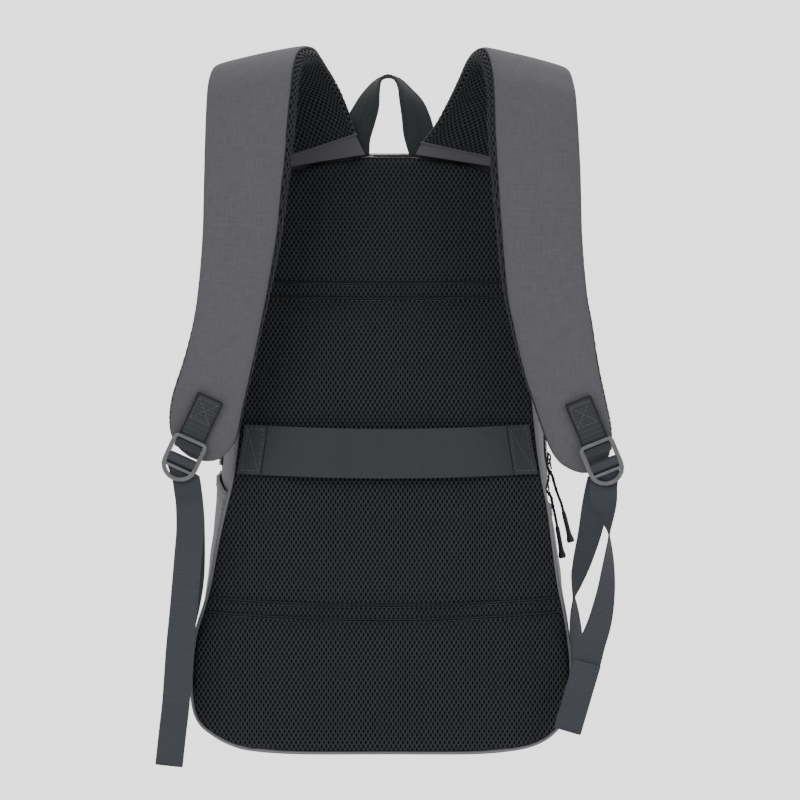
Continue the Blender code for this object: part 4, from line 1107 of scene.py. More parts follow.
def make_back_panel():
    look = bpy.context.scene.backpack_look
    skin = panel_skin()
    bm = bmesh.new()
    bm.from_mesh(skin.mesh)
    grown = bmesh.ops.extrude_face_region(bm, geom=bm.faces[:], use_keep_orig=True)
    for item in grown["geom"]:
        if isinstance(item, bmesh.types.BMVert):
            item.co.y = -0.0004
    for vert in bm.verts:
        if vert.co.y < -0.001:
            vert.co.y += 0.0007
    pad = keep(bm, "back_panel_padding", "foam", ["back_panel"])

    def inside(middle):
        height = (middle.z - body_z(0) + MESH_LOW) / BODY_HEIGHT
        if not 0 < height < 1:
            return False
        left, right = skin.limits(middle.z + MESH_LOW)
        return left - look.mesh_pitch * 0.3 < middle.x < right + look.mesh_pitch * 0.3

    openwork("back_panel_mesh", BODY_WIDTH + 0.01, BODY_HEIGHT,
             lambda x, z, lift: skin.point(x, z + MESH_LOW, lift + 0.0004), inside,
             look.mesh_pitch, look.mesh_row, (look.hole_width, look.hole_height))

    paths = []
    for low, high, sag in CHANNELS:
        for height in (low, high):
            points = []
            for number in range(61):
                share = number / 60
                level = height - sag * (1 - (2 * share - 1) ** 2)
                left, right = panel_edges(level)
                x = mix(left.x + 0.003, right.x - 0.003, share)
                points.append(skin.point(x, body_z(level), 0.0010))
            paths.append((points, [Vector((0, -1, 0))] * len(points)))
    # black cords along the channels' edges: partly the real seam, partly painted shade in the
    # groove beside the padding
    for number, (points, _) in enumerate(paths):
        round_cord("panel_channel_seam_%d" % (number + 1), "seam", points, 0.0019)
    below = [([point + Vector((0, -0.0004, -0.0016)) for point in points], normals)
             for points, normals in paths]
    stitches("panel_channel_stitches", "mesh_thread", below, length=0.0020, gap=0.0018,
             thick=0.0006)

    start = walk_right(0.940) - WALK
    end = walk_left(0.940)
    points = []
    normals = []
    for number in range(241):
        point, outward = outline(mix(start, end, number / 240))
        point = point + outward * (PIPING / 2 - 0.0005)
        point.y = -PANEL_EDGE / 2
        points.append(point)
        normals.append(outward)
    round_cord("back_piping_cord", "pocket", points, PIPING, ["back_piping"])


# Walls, front and pockets

# how far the walls stand out just above the mouths of the left and the right pocket
MOUTH_FULL = (0.0052, 0.0050)


def soft_wall(at, depth_share, lift):
    """The wall with the slack of cloth: broad waves and small puckers near its seams."""
    slack = math.sin(math.pi * min(1.0, max(0.0, depth_share))) ** 0.6
    point = wall_point(at, depth_share)
    height = (point.z - body_z(0)) / BODY_HEIGHT
    full, mouth = (MOUTH_FULL[0], 0.455) if at < WALK / 2 else (MOUTH_FULL[1], 0.458)
    lift += full * belly(depth_share) * math.exp(-((height - mouth) / 0.034) ** 2)
    fold = ripple(point, 0.075, 0.0026) + ripple(point, 0.028, 0.0011)
    seam = min(depth_share, 1 - depth_share) * along(WALK_DEPTH, at, True)
    pucker = ripple(point, 0.006, 0.0004) * max(0.0, 1 - seam / 0.012)
    _, outward = outline(at)
    return point + outward * (lift + fold * slack + pucker)


# each wall with the places along the outline where it starts and ends, and its rows of cloth
WALLS = (("gusset_left", 4, 19, 96), ("gusset_top", 19, 31, 60),
         ("gusset_right", 31, 46, 96), ("gusset_bottom", 46, 54, 60))


def make_walls():
    for name, start, end, rows in WALLS:
        low = start + GAP / 2 / outline_pace(start)
        high = end - GAP / 2 / outline_pace(end)
        length = route_length([outline(mix(low, high, number / 39))[0] for number in range(40)])
        cloth(name + "_cloth", "polyester", 26, rows,
              lambda across, upward: soft_wall(mix(low, high, upward), across, 0.0),
              lambda across, upward: soft_wall(mix(low, high, upward), across, -CLOTH),
              (BODY_DEPTH, length), [name])

    def skin(across, row_share, lift):
        row = row_share * TOP_ROW
        start, end = 1 + row, WALK - 1 - row
        point = wall_point(start, 1.0).lerp(wall_point(end, 1.0), across)
        # towards the top the rows bow up to the curved seam
        point = point.lerp(wall_point(mix(start, end, across), 1.0), row_share ** 8)
        crown = max(0.0, 1 - abs(2 * across - 1) ** 2.4) ** 0.8
        level = (point.z - body_z(0)) / BODY_HEIGHT
        fullness = (max(0.0, 1 - abs(2 * level - 1) ** 4)) ** 0.8
        wave = ripple(point, 0.09, 0.003) + ripple(point, 0.03, 0.0012)
        point.y += GAP + (FRONT_CROWN + wave) * crown * fullness + lift
        return point

    cloth("front_cloth", "polyester", 44, 92,
          lambda across, upward: skin(across, upward, FRONT_WALL),
          lambda across, upward: skin(across, upward, 0.0), (BODY_WIDTH, BODY_HEIGHT),
          ["front_panel"])
    points = []
    for number in range(281):
        at = number / 280 * WALK
        point = wall_point(at, 1.0)
        _, outward = outline(at)
        points.append(point + Vector((0, 0.0012, 0)) + outward * 0.0012)
    round_cord("front_piping_cord", "pocket", points[:-1], 0.0026, closed=True)

    seams = []
    for start, end in ((4, 19), (19, 31), (31, 46), (-4, 4)):
        for depth_share in (0.035, 0.968):
            points = []
            normals = []
            for number in range(90):
                at = mix(start, end, number / 89)
                points.append(soft_wall(at, depth_share, 0.0002))
                normals.append(outline(at)[1])
            seams.append((points, normals))
    stitches("wall_stitches", "thread", seams, **FINE_STITCH)


def full_pocket(shape, depth_share, height, lift):
    """The pocket's wall with its slack: broad folds that gather towards its sewn base."""
    span = (depth_share - POCKET_BACK) / (POCKET_FRONT - POCKET_BACK)
    slack = math.sin(math.pi * min(1.0, max(0.0, span))) ** 0.7
    point = pocket_point(shape, depth_share, height, 0.0)
    gather = math.exp(-max(0.0, height - POCKET_BASE) / 0.05)
    fold = ripple(point, 0.045, 0.0016) + ripple(point, 0.018, 0.0007)
    pleat = 0.0012 * gather * math.sin(span * math.tau * 5.5)
    at = pocket_walk(shape, height)
    return point + outline(at)[1] * (lift + (fold + max(-0.0004, pleat)) * slack)


def make_pockets():
    hem = POCKET_HEM / BODY_HEIGHT
    for shape in (LEFT_POCKET, RIGHT_POCKET):
        def wall(lift, bottom, top, shape=shape):
            def at_grid(across, upward):
                depth_share = mix(POCKET_BACK, POCKET_FRONT, across)
                mouth = pocket_mouth(shape, depth_share)
                height = mix(bottom(mouth), top(mouth), upward)
                return full_pocket(shape, depth_share, height, lift)
            return at_grid

        cloth("side_pocket_%s_cloth" % shape.side, "pocket", 32, 44,
              wall(POCKET_WALL, lambda mouth: POCKET_BASE, lambda mouth: mouth - hem),
              wall(0.0, lambda mouth: POCKET_BASE, lambda mouth: mouth - hem),
              (BODY_DEPTH * 0.87, BODY_HEIGHT * 0.36), ["side_pocket_" + shape.side])
        cloth("pocket_hem_%s_fold" % shape.side, "pocket", 32, 5,
              wall(POCKET_WALL * 1.6, lambda mouth: mouth - hem, lambda mouth: mouth + 0.001),
              wall(0.0, lambda mouth: mouth - hem, lambda mouth: mouth + 0.001),
              (BODY_DEPTH * 0.87, POCKET_HEM), ["pocket_hem_" + shape.side])
        paths = []
        for drop in (0.15, 0.85):
            points = []
            normals = []
            for number in range(61):
                depth_share = mix(POCKET_BACK, POCKET_FRONT, number / 60)
                height = pocket_mouth(shape, depth_share) - hem * drop
                at = pocket_walk(shape, height)
                points.append(full_pocket(shape, depth_share, height, POCKET_WALL * 1.6 + 0.0002))
                normals.append(outline(at)[1])
            paths.append((points, normals))
        for depth_share in (POCKET_BACK + 0.012, POCKET_FRONT - 0.012):
            points = []
            normals = []
            for number in range(50):
                height = mix(POCKET_BASE, pocket_mouth(shape, depth_share), number / 49)
                at = pocket_walk(shape, height)
                points.append(full_pocket(shape, depth_share, height, POCKET_WALL + 0.0002))
                normals.append(outline(at)[1])
            paths.append((points, normals))
        stitches("pocket_stitches_" + shape.side, "light_thread", paths,
                 **FINE_STITCH)


# Zip and its pulls

def zip_place(at, offset, lift):
    share = ZIP_PLACE + offset / along(WALK_DEPTH, at, True)
    return soft_wall(at, share, lift)


# a tooth across the zip, along it and out of it, and how far apart the teeth stand
TOOTH = (0.0034, 0.0007, 0.0012, 1.0)
TOOTH_PITCH = 0.0009


def make_zip():
    start = walk_left(ZIP_LEFT_END)
    end = walk_right(ZIP_RIGHT_END)
    steps = 220

    def tape(lift):
        return lambda across, upward: zip_place(mix(start, end, upward),
                                                (across - 0.5) * ZIP_TAPE, lift)

    line = [zip_place(mix(start, end, number / steps), 0.0, 0.0) for number in range(steps + 1)]
    length = route_length(line)
    cloth("zip_tape_weave", "zip", 10, steps, tape(GAP + ZIP_TAPE_THICK), tape(GAP),
          (ZIP_TAPE, length), ["zip_tape"])
    lift = GAP + ZIP_TAPE_THICK
    normals = [outline(mix(start, end, number / steps))[1] for number in range(steps + 1)]
    raised = [point + normal * (lift + 0.0006) for point, normal in zip(line, normals)]
    bm = bmesh.new()
    for number, (point, run, normal) in enumerate(spaced(raised, normals, TOOTH_PITCH)):
        side = run.cross(normal).normalized()
        shift = side * (TOOTH_PITCH if number % 2 else -TOOTH_PITCH)
        place = placed(point + shift, side, run, normal) @ Matrix.Diagonal(TOOTH)
        bmesh.ops.create_cube(bm, size=1.0, matrix=place)
    keep(bm, "zip_teeth", "teeth", ["zip_coil"], sharp=30)
    edges = []
    for offset in (-ZIP_TAPE * 0.44, ZIP_TAPE * 0.44, -0.0052, 0.0052):
        path = [zip_place(mix(start, end, number / steps), offset, lift + 0.0002)
                for number in range(steps + 1)]
        edges.append((path, normals))
    stitches("zip_stitches", "thread", edges, **FINE_STITCH)


def make_slider(name, height):
    """A slider: a body with its nose rounded and a bridge over it; its pull ring is added with the
    pull.
    """
    middle, outward, run = slider_seat(height)
    side = run.cross(outward).normalized()
    place = placed(middle, side, run, outward)
    bm = bmesh.new()
    body = []
    for number in range(16):
        angle = math.tau * number / 16
        across = SLIDER_WIDTH / 2 * math.copysign(abs(math.cos(angle)) ** 0.6, math.cos(angle))
        down = SLIDER_LENGTH / 2 * math.copysign(abs(math.sin(angle)) ** 0.7, math.sin(angle))
        if down > 0:
            across *= 1 - 0.25 * down / (SLIDER_LENGTH / 2)
        body.append((across, down))
    base = bm.faces.new([bm.verts.new((x, y, 0.0)) for x, y in body])
    for lift, shrink in ((SLIDER_THICK * 0.6, 1.0), (SLIDER_THICK * 0.8, 0.9)):
        grown = bmesh.ops.extrude_face_region(bm, geom=[base], use_keep_orig=lift < 0.0013)
        if lift > 0.0013:
            bmesh.ops.delete(bm, geom=[base], context="FACES_ONLY")
        base = [item for item in grown["geom"] if isinstance(item, bmesh.types.BMFace)][0]
        for vert, (x, y) in zip(base.verts, body):
            vert.co = (x * shrink, y * shrink, lift)
    bmesh.ops.transform(bm, matrix=place, verts=bm.verts[:])
    keep(bm, name + "_body", "slider", [name])
    bridge = [Vector((0, mix(-0.35, 0.38, number / 10) * SLIDER_LENGTH,
                      SLIDER_THICK * 0.7 + 0.0016 * math.sin(math.pi * number / 10) ** 0.5))
              for number in range(11)]
    round_cord(name + "_bridge", "slider", [place @ point for point in bridge], 0.0013)


def make_pull(name, height, rows):
    middle, outward, run = slider_seat(height)
    points = cord_points(rows, height, 6)
    grip = make_grip("pull_grip_%s_moulding" % name, points, ["pull_grip_" + name])
    cord = round_cord("pull_cord_%s_braid" % name, "cord", points, PULL_CORD,
                      ["pull_cord_" + name])
    side = run.cross(outward).normalized()
    for number, place in enumerate((0.16, 0.30, 0.44)):
        low = points[max(1, int(place * len(points)))]
        knot = [low + (side * math.cos(math.tau * step / 14)
                       + Vector((0, 1, 0)) * math.sin(math.tau * step / 14)) * PULL_CORD * 0.68
                + run * PULL_CORD * 0.35 * math.sin(math.tau * step / 7) for step in range(14)]
        round_cord("pull_knot_%s_%d" % (name, number + 1), "cord", knot, PULL_CORD * 1.05,
                   closed=True)
    ring = []
    centre = middle + outward * (SLIDER_THICK + 0.0012) + run * SLIDER_LENGTH * 0.36
    for number in range(24):
        angle = math.tau * number / 24
        ring.append(centre + side * math.cos(angle) * 0.0026
                    + (run * 0.92 + outward * 0.25) * math.sin(angle) * 0.0042)
    round_cord("pull_ring_" + name, "slider", ring, 0.0013, closed=True)


def make_grip(name, points, nodes):
    run = (points[-1] - points[-3]).normalized()
    side = run.cross(Vector((0, 1, 0))).normalized()
    up = run.cross(side)
    sections = []
    for share, size in ((-0.06, 0.75), (-0.03, 1.0), (0.06, 1.1), (0.35, 1.1), (0.66, 1.15),
                        (0.78, 1.35), (0.86, 1.8), (0.93, 1.87), (0.98, 1.75), (1.0, 1.4)):
        middle = points[-1] + run * (GAP + GRIP_LENGTH * share)
        ring = []
        for number in range(16):
            turn = math.tau * number / 16
            flat = 0.78 if share > 0.7 else 1.0
            ring.append(middle + (side * math.cos(turn) + up * math.sin(turn) * flat)
                        * size * GRIP_NECK / 2)
        sections.append(ring)
    return loft(name, "grip", sections, nodes, levels=1)


def make_pulls():
    for name, height, rows in (("upper", UPPER_SLIDER_HEIGHT, UPPER_CORD),
                               ("lower", LOWER_SLIDER_HEIGHT, LOWER_CORD)):
        make_slider("zip_slider_" + name, height)
        make_pull(name, height, rows)


# Luggage band and haul loop

BAND_TOP = 0.5505
BAND_SEWN = 0.075


def band_surface(lift):
    """The band's middle sheet moved out by a lift, by a share down it and a share along it."""
    skin = panel_skin()
    low = BAND_TOP - BAND_WIDTH / BODY_HEIGHT

    def at(across, upward):
        height = mix(BAND_TOP, low, across)
        left, right = panel_edges(height)
        edge = GAP + 0.0012 + 0.0020 * (1 - across)
        x = mix(left.x + edge, right.x - edge, upward)
        free = ease((upward - BAND_SEWN) / 0.16) * ease((1 - upward - BAND_SEWN) / 0.16)
        z = body_z(height) - BAND_SAG * math.sin(math.pi * upward)
        base = min(skin.depth(x + step, body_z(BAND_TOP - 0.04) + rise)
                   for step in (-0.004, 0.0, 0.004) for rise in (-0.012, 0.0, 0.012))
        wave = ripple(Vector((x, 0.4, z * 0.3)), 0.05, 0.0012) * free
        return Vector((x, base - 0.0012 - BAND_SLACK * free - wave - lift, z))
    return at


def make_band():
    look = bpy.context.scene.backpack_look
    at = band_surface(BAND_THICK)
    cloth("luggage_band_webbing", "band", 16, 160, at, band_surface(0.0),
          (BAND_WIDTH, 0.222), ["luggage_band"])
    top = band_surface(BAND_THICK + 0.0002)
    toward = Vector((0, -1, 0))
    paths = []
    for first, last in ((0.012, 0.068), (0.932, 0.988)):
        loop = [(0.08, first), (0.92, first), (0.92, last), (0.08, last), (0.08, first),
                (0.92, last)]
        for (across_a, up_a), (across_b, up_b) in zip(loop, loop[1:]):
            points = [top(mix(across_a, across_b, number / 16), mix(up_a, up_b, number / 16))
                      for number in range(17)]
            paths.append((points, [toward] * 17))
    for upward in (0.075, 0.925):
        points = [top(mix(0.03, 0.97, number / 20), upward) for number in range(21)]
        paths.append((points, [toward] * 21))
    stitches("band_stitches", "light_thread", paths, length=look.stitch_length, gap=0.0011,
             thick=0.0006)
    # a thin black line where the band bends away from its sewn ends: painted shade at the bend
    for label, upward in (("left", 0.079), ("right", 0.921)):
        fold = [top(mix(0.01, 0.99, number / 20), upward) for number in range(21)]
        round_cord("band_fold_" + label, "seam", fold, 0.0008)


def make_haul_loop():
    steps = 12
    count = (len(HAUL_ROWS) - 1) * steps
    points = []
    acrosses = []
    for number in range(count + 1):
        at = number / steps
        points.append(Vector((along(column(HAUL_ROWS, "across"), at) * BODY_WIDTH,
                              along(column(HAUL_ROWS, "out"), at) * HAUL_WIDTH,
                              -HAUL_RISE + along(column(HAUL_ROWS, "up"), at) * HAUL_RISE)))
        turn = math.radians(along(column(HAUL_ROWS, "turn"), at))
        acrosses.append(Vector((math.cos(turn), -math.sin(turn), 0)))
    strip("haul_loop_webbing", "haul", points, acrosses, HAUL_WIDTH, HAUL_THICK, ["haul_loop"],
          columns=14, crown=0.0009)
    paths = []
    runs = tangents(points)
    for sideways in (-0.42, 0.42):
        for sign in (1, -1):
            line = []
            normals = []
            for point, across, run in zip(points, acrosses, runs):
                face = run.cross(across).normalized() * sign
                belly_out = 0.0009 * (1 - (2 * sideways) ** 2) * sign
                line.append(point + across * sideways * HAUL_WIDTH
                            + face * (HAUL_THICK / 2 + belly_out))
                normals.append(face)
            paths.append((line, normals))
    stitches("haul_loop_stitches", "thread", paths, length=0.0024, gap=0.0013, thick=0.0005)


# Shoulder straps

def ring_point(item, at, lift):
    """A place round the strap's section, and out from it by a lift."""
    width = item.breadth * STRAP_WIDTH

    def spot(place):
        return (item.across * along(column_of(PAD_RING, 0), place, True) * width
                + item.face * along(column_of(PAD_RING, 1), place, True) * STRAP_THICK)

    run = (spot(at + 0.05) - spot(at - 0.05)).normalized()
    away = run.cross(item.across.cross(item.face)).normalized()
    if away.dot(spot(at)) < 0:
        away = -away
    return item.point + spot(at) + away * lift


def column_of(rows, number):
    return [row[number] for row in rows]


def mixed_frame(frames, share):
    place = min(len(frames) - 1.0001, max(0.0, share * (len(frames) - 1)))
    low = math.floor(place)
    part = place - low
    first = frames[low]
    second = frames[low + 1]
    return Frame(first.point.lerp(second.point, part),
                 first.across.lerp(second.across, part).normalized(),
                 first.face.lerp(second.face, part).normalized(),
                 mix(first.breadth, second.breadth, part))


# the mesh runs from one edge of the face round the strap's underside to the other
UNDER_START = 2.0
UNDER_SPAN = -8.0
FACE_SPAN = 4.0


def make_strap(side, rows):
    look = bpy.context.scene.backpack_look
    last = len(rows) - 1
    yoke = strap_frames(rows, 0, YOKE_ROWS, 8)
    loft("strap_yoke_%s_cloth" % side, "yoke",
         [[ring_point(item, number / 2, 0.0) for number in range(24)] for item in yoke],
         ["strap_yoke_" + side], sharp=75)
    frames = strap_frames(rows, YOKE_ROWS + 0.02, last, 150)
    route = route_length([item.point for item in frames])

    pad = loft("strap_pad_%s_foam" % side, "foam",
               [[ring_point(item, number / 2, -0.0004) for number in range(24)]
                for item in frames[::2]], ["strap_pad_" + side], sharp=75)

    def face(lift):
        def at(across, upward):
            item = mixed_frame(frames, upward)
            point = ring_point(item, UNDER_START + FACE_SPAN * across, lift)
            return point + item.face * ripple(point, 0.05, 0.0006)
        return at

    cloth("strap_face_%s_cloth" % side, "strap", 26, 150, face(GAP + STRAP_FACE), face(0.0001),
          (STRAP_WIDTH, route), ["strap_face_" + side], sharp=75)

    wide = STRAP_WIDTH + STRAP_THICK * 2

    def lay(x, z, lift):
        item = mixed_frame(frames, z / route)
        girth = item.breadth * STRAP_WIDTH + STRAP_THICK * 1.6
        share = min(1.0, max(0.0, 0.5 + x / girth))
        return ring_point(item, UNDER_START + UNDER_SPAN * girth_place(item.breadth, share),
                          lift + 0.0002)

    def inside(middle):
        if not 0 < middle.z < route:
            return False
        item = mixed_frame(frames, middle.z / route)
        return abs(middle.x) < (item.breadth * STRAP_WIDTH + STRAP_THICK * 1.6) / 2 + 0.001

    openwork("strap_mesh_" + side, wide, route, lay, inside, look.mesh_pitch, look.mesh_row,
             (look.hole_width, look.hole_height))
    for label, at in (("inner", UNDER_START), ("outer", UNDER_START + FACE_SPAN)):
        edge = [ring_point(item, at, 0.0006) for item in frames]
        round_cord("strap_binding_%s_%s" % (side, label), "zip", edge, 0.0017)
    seam = []
    for at in (UNDER_START + 0.32, UNDER_START + FACE_SPAN - 0.32):
        points = [face(GAP + STRAP_FACE + 0.0001)((at - UNDER_START) / FACE_SPAN, number / 220)
                  for number in range(221)]
        seam.append((points, [mixed_frame(frames, number / 220).face for number in range(221)]))
    stitches("strap_stitches_" + side, "light_thread", seam, length=0.0024, gap=0.0014,
             thick=0.0004)

    # a flap of the yoke's darker cloth hung below the yoke over the panel's top edge: painted shade
    # under the strap's base
    def yoke_shade_flap(lift):
        def at(across, upward):
            top = ring_point(yoke[1], UNDER_START + FACE_SPAN * across, lift - 0.0002)
            inner = across if side == "right" else 1 - across
            low = top + Vector((0.0, 0.0045, -0.0035 - 0.0065 * inner))
            return low.lerp(top, upward)
        return at

    cloth("strap_yoke_%s_seam" % side, "yoke", 12, 3, yoke_shade_flap(0.0010), yoke_shade_flap(0.0002),
          (STRAP_WIDTH, 0.01))
    fold = [ring_point(yoke[-1], place / 4, 0.0005) for place in range(48)]
    round_cord("strap_yoke_fold_" + side, "yoke", fold, 0.0016, closed=True)


def girth_place(breadth, share):
    """Share of the ring's steps at a share of its girth: its sides and corners are short."""
    flat = breadth * STRAP_WIDTH
    edge = STRAP_THICK * 0.24
    corner = flat * 0.05 + STRAP_THICK * 0.30
    sizes = [edge, edge, corner, flat * 0.45, flat * 0.45, corner, edge, edge]
    wanted = share * sum(sizes)
    for number, size in enumerate(sizes):
        if wanted <= size:
            return (number + wanted / size) / len(sizes)
        wanted -= size
    return 1.0


# Strap tabs, buckles and webbing

def make_buckle(side, rows, seat):
    """A ladder-lock frame cut from plate, its edges rounded."""
    origin, across, down, out = buckle_frame(rows, seat)
    rim, first_bar, slit, second_bar, third_window, third_bar, lift = buckle_levels()
    half = BUCKLE_WIDTH / 2 - BUCKLE_RAIL - 0.0003
    corner = 0.0006
    loops = [buckle_outline(-0.0005),
             rounded_box(half, rim, first_bar, corner),
             rounded_box(half, slit, second_bar, corner),
             rounded_box(half, third_window, third_bar, corner),
             lift_window_points(lift)]
    bm = bmesh.new()
    edges = []
    for points in loops:
        ring = [bm.verts.new((x, -y, -BUCKLE_THICK / 2)) for x, y in points]
        edges += [bm.edges.new((low, high)) for low, high in zip(ring, ring[1:] + ring[:1])]
    bmesh.ops.triangle_fill(bm, edges=edges, use_beauty=True)
    grown = bmesh.ops.extrude_face_region(bm, geom=bm.faces[:], use_keep_orig=True)
    for item in grown["geom"]:
        if isinstance(item, bmesh.types.BMVert):
            item.co.z = BUCKLE_THICK / 2
    bmesh.ops.recalc_face_normals(bm, faces=bm.faces[:])
    rims = [edge for edge in bm.edges
            if len(edge.link_faces) == 2 and edge.calc_face_angle() > math.radians(60)]
    bmesh.ops.bevel(bm, geom=rims, offset=0.0005, segments=3, profile=0.5, affect="EDGES")
    bmesh.ops.transform(bm, matrix=placed(origin, across, -down, out), verts=bm.verts[:])
    keep(bm, "strap_buckle_%s_frame" % side, "buckle", ["strap_buckle_" + side], sharp=50)


def make_tab(side, rows, seat):
    origin, across, down, out = buckle_frame(rows, seat)
    rim, first_bar, slit, *_ = buckle_levels()
    near = -tab_depth(0)
    far = -tab_depth(1)
    front = BUCKLE_THICK / 2 + GAP + WEBBING_THICK / 2 + 0.0002
    window = (rim + first_bar) / 2
    behind = slit + WEBBING_THICK / 2 + GAP + 0.0003
    middle = (first_bar + slit) / 2
    route = [(-TAB_LENGTH, near), (-TAB_LENGTH * 0.7, near), (-TAB_LENGTH * 0.4, near),
             (rim * 0.2, near), (rim + 0.0004, near * 0.93), (window, near * 0.3),
             (window + 0.0001, front * 0.45), (first_bar - 0.0004, front),
             (middle, front + 0.0001), (slit + 0.0004, front), (behind, front * 0.45),
             (behind, near * 0.35), (slit + 0.0005, mix(near, far, 0.35)),
             (first_bar, mix(near, far, 0.85)), (rim, far), (-TAB_LENGTH * 0.4, far),
             (-TAB_LENGTH * 0.7, far), (-TAB_LENGTH, far)]
    points = [origin + down * low + out * high for low, high in route]
    strip("strap_tab_%s_webbing" % side, "tab", points, [across] * len(points),
          WEBBING_WIDTH, WEBBING_THICK, ["strap_tab_" + side], columns=10)
    lift = near + WEBBING_THICK / 2 + 0.0001

    def spot(sideways, low):
        return origin + across * (sideways * WEBBING_WIDTH) + down * low + out * lift

    high = -TAB_LENGTH + 0.003
    low = -TAB_LENGTH * 0.42
    corners = [(-0.40, high), (0.40, high), (0.40, low), (-0.40, low), (-0.40, high),
               (0.40, low), (0.40, high), (-0.40, low)]
    paths = []
    for (x_a, y_a), (x_b, y_b) in zip(corners, corners[1:]):
        paths.append(([spot(x_a, y_a), spot(x_b, y_b)], [out, out]))
    stitches("strap_tab_stitches_" + side, "light_thread", paths, length=0.0024, gap=0.001,
             thick=0.0007)
    # near-black cords along the tab's top end and its two edges: painted shade, a dark outline
    # where the tab lies on the strap
    hem = [spot(mix(-0.5, 0.5, number / 6), -TAB_LENGTH) for number in range(7)]
    round_cord("strap_tab_hem_" + side, "zip", hem, 0.0013)
    for label, sideways in (("inner", -0.5), ("outer", 0.5)):
        edge = [spot(sideways, mix(-TAB_LENGTH, 0.0, number / 8)) for number in range(9)]
        round_cord("strap_tab_edge_%s_%s" % (side, label), "zip", edge, 0.0012)


def make_adjuster(side, rows, seat, tail, anchor):
    """Webbing from the seam at the corner up to the buckle, round its second bar, and down
    again as the free tail with its folded hem."""
    origin, across, down, out = buckle_frame(rows, seat)
    *_, second_bar, third_window, third_bar, _ = buckle_levels()
    near = -tab_depth(0)
    far = -tab_depth(1)
    front = BUCKLE_THICK / 2 + GAP + WEBBING_THICK / 2 + 0.0002
    before = second_bar - WEBBING_THICK / 2 - GAP - 0.0003
    window = (third_window + third_bar) / 2
    middle = (second_bar + third_window) / 2
    over = [(third_bar + 0.0006, near), (window + 0.0005, near * 0.75), (window, front * 0.1),
            (third_window + 0.0006, front * 0.85), (middle, front), (second_bar - 0.0006, front),
            (before, front * 0.3), (before, near * 0.5), (second_bar + 0.0003, mix(near, far, 0.6)),
            (third_window, far), (third_bar + 0.0006, far)]
    bar_points = [origin + down * low + out * high for low, high in over]
    tail_points, tail_acrosses = web_points(tail, 12)
    runs = tangents(tail_points)
    hem_points = []
    hem_acrosses = []
    fold = WEBBING_THICK + GAP
    length = 0.0
    for number in range(len(tail_points) - 1, 0, -1):
        back = -runs[number].cross(tail_acrosses[number]).normalized()
        if length > 0:
            hem_points.insert(0, tail_points[number] + back * fold)
            hem_acrosses.insert(0, tail_acrosses[number])
        length += (tail_points[number] - tail_points[number - 1]).length
        if length > HEM_LENGTH:
            break
    end = tail_points[-1]
    back = -runs[-1].cross(tail_acrosses[-1]).normalized()
    for turn in (180, 150, 120, 90, 60, 30):
        angle = math.radians(turn)
        hem_points.append(end + back * (fold / 2) * (1 - math.cos(angle))
                          + runs[-1] * (fold / 2) * math.sin(angle))
        hem_acrosses.append(tail_acrosses[-1])
    anchor_points, anchor_acrosses = web_points(anchor, 12)
    points = hem_points + tail_points[::-1] + bar_points + anchor_points
    acrosses = (hem_acrosses + tail_acrosses[::-1] + [across] * len(bar_points)
                + anchor_acrosses)
    strip("adjuster_webbing_%s_weave" % side, "webbing", points, acrosses, WEBBING_WIDTH * 1.05,
          WEBBING_THICK, ["adjuster_webbing_" + side], columns=10)

    paths = []
    for share in (0.97, 0.90):
        number = next(place for place in range(len(tail_points) - 1, 0, -1)
                      if route_length(tail_points[place:]) >= HEM_LENGTH * share)
        for sign in (1, -1):
            face = runs[number].cross(tail_acrosses[number]).normalized() * sign
            lift = WEBBING_THICK / 2 + (fold if sign < 0 else 0.0)
            middle = tail_points[number] + face * lift
            reach = tail_acrosses[number] * WEBBING_WIDTH * 0.46
            paths.append(([middle - reach, middle + reach], [face, face]))
    stitches("adjuster_stitches_" + side, "light_thread", paths, length=0.0022, gap=0.0009,
             thick=0.0008)


def make_anchor_patch(side, anchor):
    """The seam where the adjuster webbing enters the corner, with its bar of stitches."""
    points, acrosses = web_points(anchor, 4)
    run = (points[-1] - points[-2]).normalized()
    middle = points[-1] - run * 0.004
    across = acrosses[-1]
    face = run.cross(across).normalized()
    paths = []
    for sign in (1, -1):
        for step in (0.0, -0.0022):
            start = middle + run * step + face * sign * (WEBBING_THICK / 2)
            reach = across * WEBBING_WIDTH * 0.42
            paths.append(([start - reach, start + reach], [face * sign] * 2))
    stitches("anchor_stitches_" + side, "thread", paths, length=0.002, gap=0.0008, thick=0.0007)


# Stage

